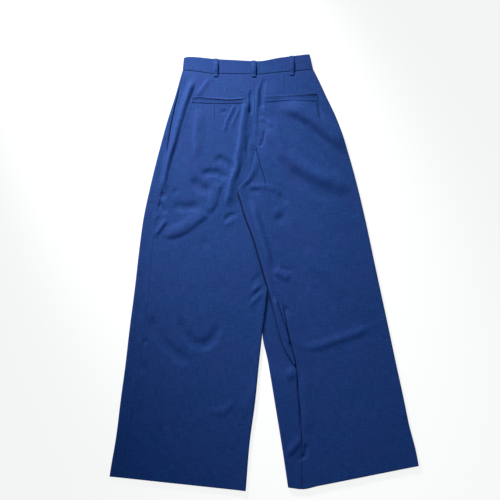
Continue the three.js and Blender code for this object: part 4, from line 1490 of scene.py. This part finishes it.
@dataclass
class Darts:
    """Darts of the back: narrow pleats, ironed flat, that run out to nothing."""

    outline: Outline
    lay: Lay
    width: float = 5.0
    rise: float = 0.55
    darts: tuple[tuple[str, tuple[tuple[float, float], ...]], ...] = (
        ("dart_left", ((-128.4, 416.5), (-128.2, 392.0), (-127.8, 362.0))),
        ("dart_right", ((53.4, 495.0), (53.2, 465.0), (52.8, 436.6))),
        ("dart_right_outer", ((139.9, 419.5), (144.6, 387.6), (149.8, 349.0))),
    )

    def build(self) -> list[Piece]:
        """Makes every dart.

        Returns:
            The darts.
        """
        made = []
        for name, line in self.darts:
            (_, top), (_, bottom) = line[0], line[-1]
            length = top - bottom
            across = Curve([(station, x) for x, station in line])
            face = self.lay.back_left if line[0][0] < 0 else self.lay.back_right

            def lay_down(points: Array) -> Array:
                """Lays the pleat down, thinning it to its left and to its lower end.

                Args:
                    points: cut points in mm.

                Returns:
                    The points laid down, in mm.
                """
                share = 0.5 - points[:, 1] / length
                station = top - share * length
                narrow = 1 - 0.75 * smooth(0.4, 1.0, share)
                x = across(station) + (points[:, 0] - self.width / 2) * narrow
                wedge = (points[:, 0] / self.width + 0.5) * narrow
                z = face(x, station) + 0.02 + points[:, 2] * np.maximum(wedge, 0.08)
                return np.stack([x, self.outline.y(x, station), z], -1)

            def shade_on_dart_edge(points: Array) -> Array:
                """Paints shade on the dart's right edge, less towards its lower end."""
                fainter = 1 - 0.6 * smooth(0.6, 1.0, 0.5 - points[:, 1] / length)
                return smooth(0.25, 0.5, points[:, 0] / self.width) * fainter

            blank = strip_blank(name, self.width, length, self.rise, 24)
            move_points(blank, lay_down, shade_on_dart_edge)
            made.append(blank)
        return made


@dataclass
class Fly:
    """Fly on the hidden front, stitched down in a long curve."""

    outline: Outline
    lay: Lay
    width: float = 36.0
    bottom: float = 335.0
    cloth: float = 0.9
    gap: float = 0.35
    stitches: int = 46

    def build(self) -> tuple[Piece, list[Stitch]]:
        """Makes the fly.

        Returns:
            The flap and the places of its stitches.
        """
        top = WAIST_STATION - 3
        length = top - self.bottom
        blank = strip_blank("fly_flap_cloth", self.width, length, self.cloth, 40)

        def lay_down(points: Array) -> Array:
            """Lays the flap under the front and rounds its lower end.

            Args:
                points: cut points in mm.

            Returns:
                The points laid down, in mm.
            """
            share = 0.5 - points[:, 1] / length
            station = top - share * length
            rounding = np.sqrt(np.maximum(1 - smooth(0.72, 1.03, share) ** 2, 0.01))
            across = points[:, 0] / self.width + 0.5
            x = self.outline.centre(station) + 0.3 + self.width * rounding * across
            z = self.lay.front(x, station) - self.lay.cloth - self.gap - points[:, 2]
            return np.stack([x, self.outline.y(x, station), np.maximum(z, 0.03)], -1)

        move_points(blank, lay_down, even)
        stitches = []
        for i in range(self.stitches):
            share = i / (self.stitches - 1) * 0.97
            station = top - 4 - share * (length - 8)
            reach = 30 * math.sqrt(max(1 - float(smooth(0.66, 1.0, share)) ** 2, 0))
            x = float(self.outline.centre(station)) + 2 + reach
            face = float(self.lay.front(np.array([x]), np.array([station]))[0])
            z = face - self.lay.cloth - self.gap - self.cloth
            turn = math.pi / 2 if share < 0.72 else math.pi / 2 - 1.2 * (share - 0.72) / 0.25
            stitches.append((x, float(self.outline.y(x, station)), max(z, 0.18), turn))
        return blank, stitches


def linear(code: str, alpha: float = 1.0) -> tuple[float, float, float, float]:
    """Turns an sRGB hex colour to linear.

    Args:
        code: six hex digits after a hash.
        alpha: opacity.

    Returns:
        Linear red, green, blue and alpha.
    """
    values = [int(code[i:i + 2], 16) / 255 for i in (1, 3, 5)]
    return (*[v / 12.92 if v <= 0.04045 else ((v + 0.055) / 1.055) ** 2.4 for v in values], alpha)


def add_node(
    tree: bpy.types.NodeTree, kind: str, settings: dict[str, object] | None = None,
    sockets: dict[str | int, object] | None = None,
) -> bpy.types.Node:
    """Adds one shader node.

    Args:
        tree: node tree.
        kind: Blender's name of the node.
        settings: its properties.
        sockets: its inputs by name or number: a value, or an output to link.

    Returns:
        The node.
    """
    made = tree.nodes.new(kind)
    for key, value in (settings or {}).items():
        setattr(made, key, value)
    for key, value in (sockets or {}).items():
        if isinstance(value, bpy.types.NodeSocket):
            tree.links.new(value, made.inputs[key])
        else:
            made.inputs[key].default_value = value
    return made


class Finish:
    """A real material, as a piece wears it."""

    name: str

    def look(self, tree: bpy.types.NodeTree) -> dict[str, object]:
        """Draws the material.

        Args:
            tree: its node tree.

        Returns:
            What it gives to the sockets of its shader.
        """
        raise NotImplementedError

    def build(self) -> bpy.types.Material:
        """Makes the material.

        Returns:
            The material.
        """
        material = bpy.data.materials.new(self.name)
        material.use_nodes = True
        tree = material.node_tree
        tree.nodes.clear()
        shader = add_node(tree, "ShaderNodeBsdfPrincipled", sockets=self.look(tree))
        add_node(tree, "ShaderNodeOutputMaterial", sockets={"Surface": shader.outputs[0]})
        return material


@dataclass(frozen=True)
class WoolSuiting(Finish):
    """Fine worsted wool in a plain weave, piece-dyed blue: matt, with faint slubs along both threads.

    Args:
        violet: colour of the uneven dye, and deep the colour of painted shade.
        patches_a_metre: how many patches of uneven dye lie in a metre, about 90 mm each.
        nap_a_metre: how many tufts of loose fibre lie in a metre, about 2.4 mm each.
    """

    name: str
    body: str = "#203D78"
    slub_dark: str = "#1B356C"
    slub_light: str = "#264683"
    violet: str = "#2B3A7B"
    deep: str = "#0A1533"
    thread_mm: float = 0.9
    slub_length_mm: float = 26.0
    slub_width_mm: float = 1.7
    patches_a_metre: float = 11.0
    nap_a_metre: float = 420.0
    roughness: float = 0.82

    def look(self, tree: bpy.types.NodeTree) -> dict[str, object]:
        """Draws the cloth.

        Args:
            tree: its node tree.

        Returns:
            Dyed threads with their slubs, weave and bloom.
        """
        cut = add_node(tree, "ShaderNodeUVMap", {"uv_map": "cut"}).outputs["UV"]
        along, across = 1000 / self.slub_length_mm, 1000 / self.slub_width_mm
        # Slubs of the warp and of the weft, drawn about twice as coarse as real ones so that they show
        slubs = []
        for scale in ((across, along, 1), (along, across, 1)):
            stretched = add_node(tree, "ShaderNodeMapping", sockets={"Vector": cut, "Scale": scale})
            noise = add_node(tree, "ShaderNodeTexNoise", {"noise_dimensions": "2D"}, {
                "Vector": stretched.outputs["Vector"], "Scale": 1.0, "Detail": 2.0, "Roughness": 0.6})
            slubs.append(noise.outputs["Fac"])
        both = add_node(tree, "ShaderNodeMath", {"operation": "ADD"}, {0: slubs[0], 1: slubs[1]})
        tone = add_node(tree, "ShaderNodeMapRange", sockets={
            "Value": both.outputs[0], "From Min": 0.72, "From Max": 1.28, "To Min": 0.0, "To Max": 1.0})
        ramp = add_node(tree, "ShaderNodeValToRGB", sockets={"Fac": tone.outputs["Result"]})
        ramp.color_ramp.elements[0].color = linear(self.slub_dark)
        ramp.color_ramp.elements[1].color = linear(self.slub_light)
        middle = ramp.color_ramp.elements.new(0.5)
        middle.color = linear(self.body)
        # Uneven dye: broad violet patches a hand wide
        patches = add_node(tree, "ShaderNodeTexNoise", {"noise_dimensions": "2D"}, {
            "Vector": cut, "Scale": self.patches_a_metre, "Detail": 3.0, "Roughness": 0.65,
            "Distortion": 0.4})
        amount = add_node(tree, "ShaderNodeMapRange", sockets={
            "Value": patches.outputs["Fac"], "From Min": 0.45, "From Max": 0.7,
            "To Min": 0.0, "To Max": 0.36})
        dyed = add_node(tree, "ShaderNodeMix", {"data_type": "RGBA"}, {
            "Factor": amount.outputs["Result"], "A": ramp.outputs["Color"], "B": linear(self.violet)})
        # Painted shade: cloth deep in a seam, under an edge or in its own shade is mixed towards the deep
        # colour
        depth = add_node(tree, "ShaderNodeAttribute", {"attribute_name": "tucked"}).outputs["Fac"]
        shade = add_node(tree, "ShaderNodeMath", {"operation": "MULTIPLY"}, {0: depth, 1: 0.9})
        with_painted_shade = add_node(tree, "ShaderNodeMix", {"data_type": "RGBA"}, {
            "Factor": shade.outputs[0], "A": dyed.outputs["Result"], "B": linear(self.deep)})
        # Weave: warp over weft, one thread about 0.45 mm in the real cloth, drawn at twice that
        weave = []
        for direction in ("X", "Y"):
            wave = add_node(tree, "ShaderNodeTexWave", {"bands_direction": direction}, {
                "Vector": cut, "Scale": 1000 / self.thread_mm / (2 * math.pi), "Distortion": 0.6,
                "Detail": 1.0, "Detail Scale": 2.0})
            weave.append(wave.outputs["Fac"])
        threads = add_node(tree, "ShaderNodeMath", {"operation": "MULTIPLY"}, {0: weave[0], 1: weave[1]})
        nap = add_node(tree, "ShaderNodeTexNoise", {"noise_dimensions": "2D"}, {
            "Vector": cut, "Scale": self.nap_a_metre, "Detail": 3.0, "Roughness": 0.7})
        height = add_node(tree, "ShaderNodeMath", {"operation": "ADD"}, {
            0: threads.outputs[0], 1: nap.outputs["Fac"]})
        relief = add_node(tree, "ShaderNodeBump", sockets={
            "Height": height.outputs[0], "Strength": 0.35, "Distance": 0.00025})
        worn = add_node(tree, "ShaderNodeMapRange", sockets={
            "Value": nap.outputs["Fac"], "From Min": 0.3, "From Max": 0.7,
            "To Min": self.roughness - 0.06, "To Max": self.roughness + 0.06})
        # Worsted has a faint bloom of loose fibres, so it gets a little sheen and almost no gloss
        return {
            "Base Color": with_painted_shade.outputs["Result"], "Roughness": worn.outputs["Result"],
            "Normal": relief.outputs["Normal"], "IOR": 1.46, "Specular IOR Level": 0.1,
            "Sheen Weight": 0.04, "Sheen Roughness": 0.4, "Sheen Tint": linear("#5C7FD8")}


@dataclass(frozen=True)
class Ribs:
    """Fine slanting ribs, dark in their grooves."""

    dark: str
    light: str
    pitch_mm: float
    uneven: float
    relief: float

    def draw(self, tree: bpy.types.NodeTree, place: bpy.types.NodeSocket) -> dict[str, object]:
        """Draws the ribs.

        Args:
            tree: node tree.
            place: where each point lies.

        Returns:
            Colour and normal, as sockets of a shader.
        """
        wave = add_node(tree, "ShaderNodeTexWave", {"bands_direction": "DIAGONAL"}, {
            "Vector": place, "Scale": 1000 / self.pitch_mm / (2 * math.pi), "Distortion": self.uneven})
        ramp = add_node(tree, "ShaderNodeValToRGB", sockets={"Fac": wave.outputs["Fac"]})
        for element, code in zip(ramp.color_ramp.elements, (self.dark, self.light)):
            element.color = linear(code)
        relief = add_node(tree, "ShaderNodeBump", sockets={
            "Height": wave.outputs["Fac"], "Strength": self.relief, "Distance": 0.0001})
        return {"Base Color": ramp.outputs["Color"], "Normal": relief.outputs["Normal"]}


@dataclass(frozen=True)
class CottonPocketing(Finish):
    """Cotton twill pocketing, near-black navy as painted shade of the pocket mouths: dull, with a fine
    slanting rib.
    """

    name: str = "cotton twill pocketing"
    ribs: Ribs = Ribs("#070E26", "#0D1836", pitch_mm=0.8, uneven=0.4, relief=0.3)

    def look(self, tree: bpy.types.NodeTree) -> dict[str, object]:
        """Draws twill ribs 0.8 mm apart, twice as coarse as real ones so that they show.

        Args:
            tree: its node tree.

        Returns:
            Dull, ribbed cotton.
        """
        cut = add_node(tree, "ShaderNodeUVMap", {"uv_map": "cut"}).outputs["UV"]
        return {**self.ribs.draw(tree, cut), "Roughness": 0.95, "IOR": 1.45, "Specular IOR Level": 0.1}


@dataclass(frozen=True)
class PolyesterThread(Finish):
    """Spun polyester sewing thread, dyed a shade darker than the cloth, with a soft twist."""

    name: str = "spun polyester thread"
    twist: Ribs = Ribs("#28468C", "#3A5EAA", pitch_mm=0.5, uneven=0.3, relief=0.4)

    def look(self, tree: bpy.types.NodeTree) -> dict[str, object]:
        """Draws the twist of the thread.

        Args:
            tree: its node tree.

        Returns:
            Thread that is less matt than the cloth, as its filaments catch the light softly.
        """
        place = add_node(tree, "ShaderNodeTexCoord").outputs["Object"]
        return {**self.twist.draw(tree, place), "Roughness": 0.55, "IOR": 1.5, "Sheen Weight": 0.1}


@dataclass(frozen=True)
class StudioPaper(Finish):
    """White studio paper under soft light: almost even white, with a faint tooth."""

    name: str = "white studio paper"
    body: str = "#FFFDF9"
    tooth_dark: str = "#8A8B8D"
    tooth_light: str = "#8E8F91"
    glow: float = 0.85

    def look(self, tree: bpy.types.NodeTree) -> dict[str, object]:
        """Draws the paper, which holds its own light, so only soft shadows show on it.

        Args:
            tree: its node tree.

        Returns:
            Matt paper with a faint tooth and its own light.
        """
        place = add_node(tree, "ShaderNodeTexCoord").outputs["Object"]
        tooth = add_node(tree, "ShaderNodeTexNoise", sockets={
            "Vector": place, "Scale": 60.0, "Detail": 4.0, "Roughness": 0.6})
        ramp = add_node(tree, "ShaderNodeValToRGB", sockets={"Fac": tooth.outputs["Fac"]})
        ramp.color_ramp.elements[0].color = linear(self.tooth_dark)
        ramp.color_ramp.elements[1].color = linear(self.tooth_light)
        return {
            "Base Color": ramp.outputs["Color"], "Roughness": 0.95, "Specular IOR Level": 0.0,
            "Emission Color": linear(self.body), "Emission Strength": self.glow}


@dataclass
class Studio:
    """Camera, floor and light; lens and sensor in mm, places in m, tilt and spread in degrees."""

    lens: float = 41.0
    distance: float = 1.45
    tilt: float = 8.0
    sensor: float = 36.0
    aim: tuple[float, float] = (-0.0345, 0.0285)
    floor_size: float = 9.0
    floor_drop: float = 0.0004
    key_place: tuple[float, float, float] = (-0.96, 1.91, 0.81)
    key_aim: tuple[float, float, float] = (-0.28, 0.56, 0.0)
    key_size: float = 0.12
    key_spread: float = 34.4
    key_power: float = 500.0
    key_colour: str = "#FFFAF4"
    room: str = "#6F93A5"

    def build(self) -> Piece:
        """Sets up the studio.

        Returns:
            The floor.
        """
        scene = bpy.context.scene
        tilt = math.radians(self.tilt)
        camera_data = bpy.data.cameras.new("camera")
        camera_data.lens, camera_data.sensor_width = self.lens, self.sensor
        camera_data.clip_start, camera_data.clip_end = 0.05, 50.0
        camera = bpy.data.objects.new("camera", camera_data)
        camera.location = (
            self.aim[0], self.aim[1] - self.distance * math.sin(tilt), self.distance * math.cos(tilt))
        camera.rotation_euler = (tilt, 0.0, 0.0)
        scene.collection.objects.link(camera)
        scene.camera = camera
        deselect()
        bpy.ops.mesh.primitive_plane_add(size=self.floor_size, location=(0, 0, 0))
        floor = bpy.context.active_object
        floor.name = floor.data.name = "studio_floor"
        in_edit_mode(floor, lambda: bpy.ops.transform.translate(value=(0, 0, -self.floor_drop)))
        floor.data.materials.append(StudioPaper().build())
        key_data = bpy.data.lights.new("key", "SPOT")
        key_data.energy, key_data.shadow_soft_size = self.key_power, self.key_size
        key_data.spot_size, key_data.spot_blend = math.radians(self.key_spread), 1.0
        key_data.color = linear(self.key_colour)[:3]
        key = bpy.data.objects.new("key", key_data)
        key.location = self.key_place
        toward = np.array(self.key_aim) - np.array(self.key_place)
        key.rotation_euler = Vector(toward).to_track_quat("-Z", "Y").to_euler()
        scene.collection.objects.link(key)
        world = bpy.data.worlds.new("soft room")
        world.use_nodes = True
        background = world.node_tree.nodes["Background"]
        background.inputs["Color"].default_value = linear(self.room)
        scene.world = world
        scene.view_settings.view_transform = "Standard"
        scene.view_settings.look = "None"
        return floor


@dataclass
class Trousers:
    """The whole garment."""

    outline: Outline = field(default_factory=Outline)

    def __post_init__(self) -> None:
        """Sets out the lay and cuts the cloth."""
        self.lay = Lay(self.outline)
        self.suiting = WoolSuiting("worsted wool suiting").build()
        self.trim = WoolSuiting(
            "worsted wool suiting, doubled",
            body="#1E3B75", slub_dark="#1A346B", slub_light="#244480").build()
        self.thread = PolyesterThread().build()
        self.pocketing = CottonPocketing().build()

    def dress(self, piece: Piece, material: bpy.types.Material, slot: str, *nodes: str) -> None:
        """Gives a piece its finish and its place in the frame.

        Args:
            piece: the piece.
            material: its finish.
            slot: name of a material slot, not used.
            nodes: the CAD nodes that it stands for.
        """
        piece.data.materials.clear()
        piece.data.materials.append(material)
        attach(piece, "root")
        if nodes:
            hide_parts(*nodes)
        LOG.info("%s: %d faces", piece.name, len(piece.data.polygons))

    def build(self) -> None:
        """Builds and dresses every piece."""
        for panel, node_name in Legs(self.outline, self.lay).panels():
            piece = panel.build()
            self.dress(piece, self.suiting, "suiting", node_name)
        band = Waistband(self.outline).build()
        self.dress(band, self.trim, "suiting_trim", "waistband")
        tacks, small = [], {"band": [], "back_left": [], "back_right": []}
        for loop, node_name, places in BeltLoops(self.outline).build():
            self.dress(loop, self.trim, "suiting_trim", node_name)
            small["band"].append(loop)
            tacks += places
        for welt, mouth, node_name, places in Pockets(self.outline, self.lay).build():
            self.dress(welt, self.trim, "suiting_trim", node_name)
            self.dress(mouth, self.pocketing, "suiting_trim")
            small[node_name.replace("welt_", "")] += [welt, mouth]
            tacks += places
        for dart in Darts(self.outline, self.lay).build():
            self.dress(dart, self.suiting, "suiting")
            small["back_left" if dart.name.endswith("left") else "back_right"].append(dart)
        fly, places = Fly(self.outline, self.lay).build()
        self.dress(fly, self.trim, "suiting_trim", "fly_flap")
        stitches = Threads("stitches").build(tacks + places)
        self.dress(stitches, self.thread, "suiting_trim")


def main() -> None:
    """Builds the studio and the garment."""
    logging.basicConfig(level=logging.INFO, format="%(message)s")
    Studio().build()
    Trousers().build()
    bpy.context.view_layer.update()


if __name__ == "__main__":
    main()
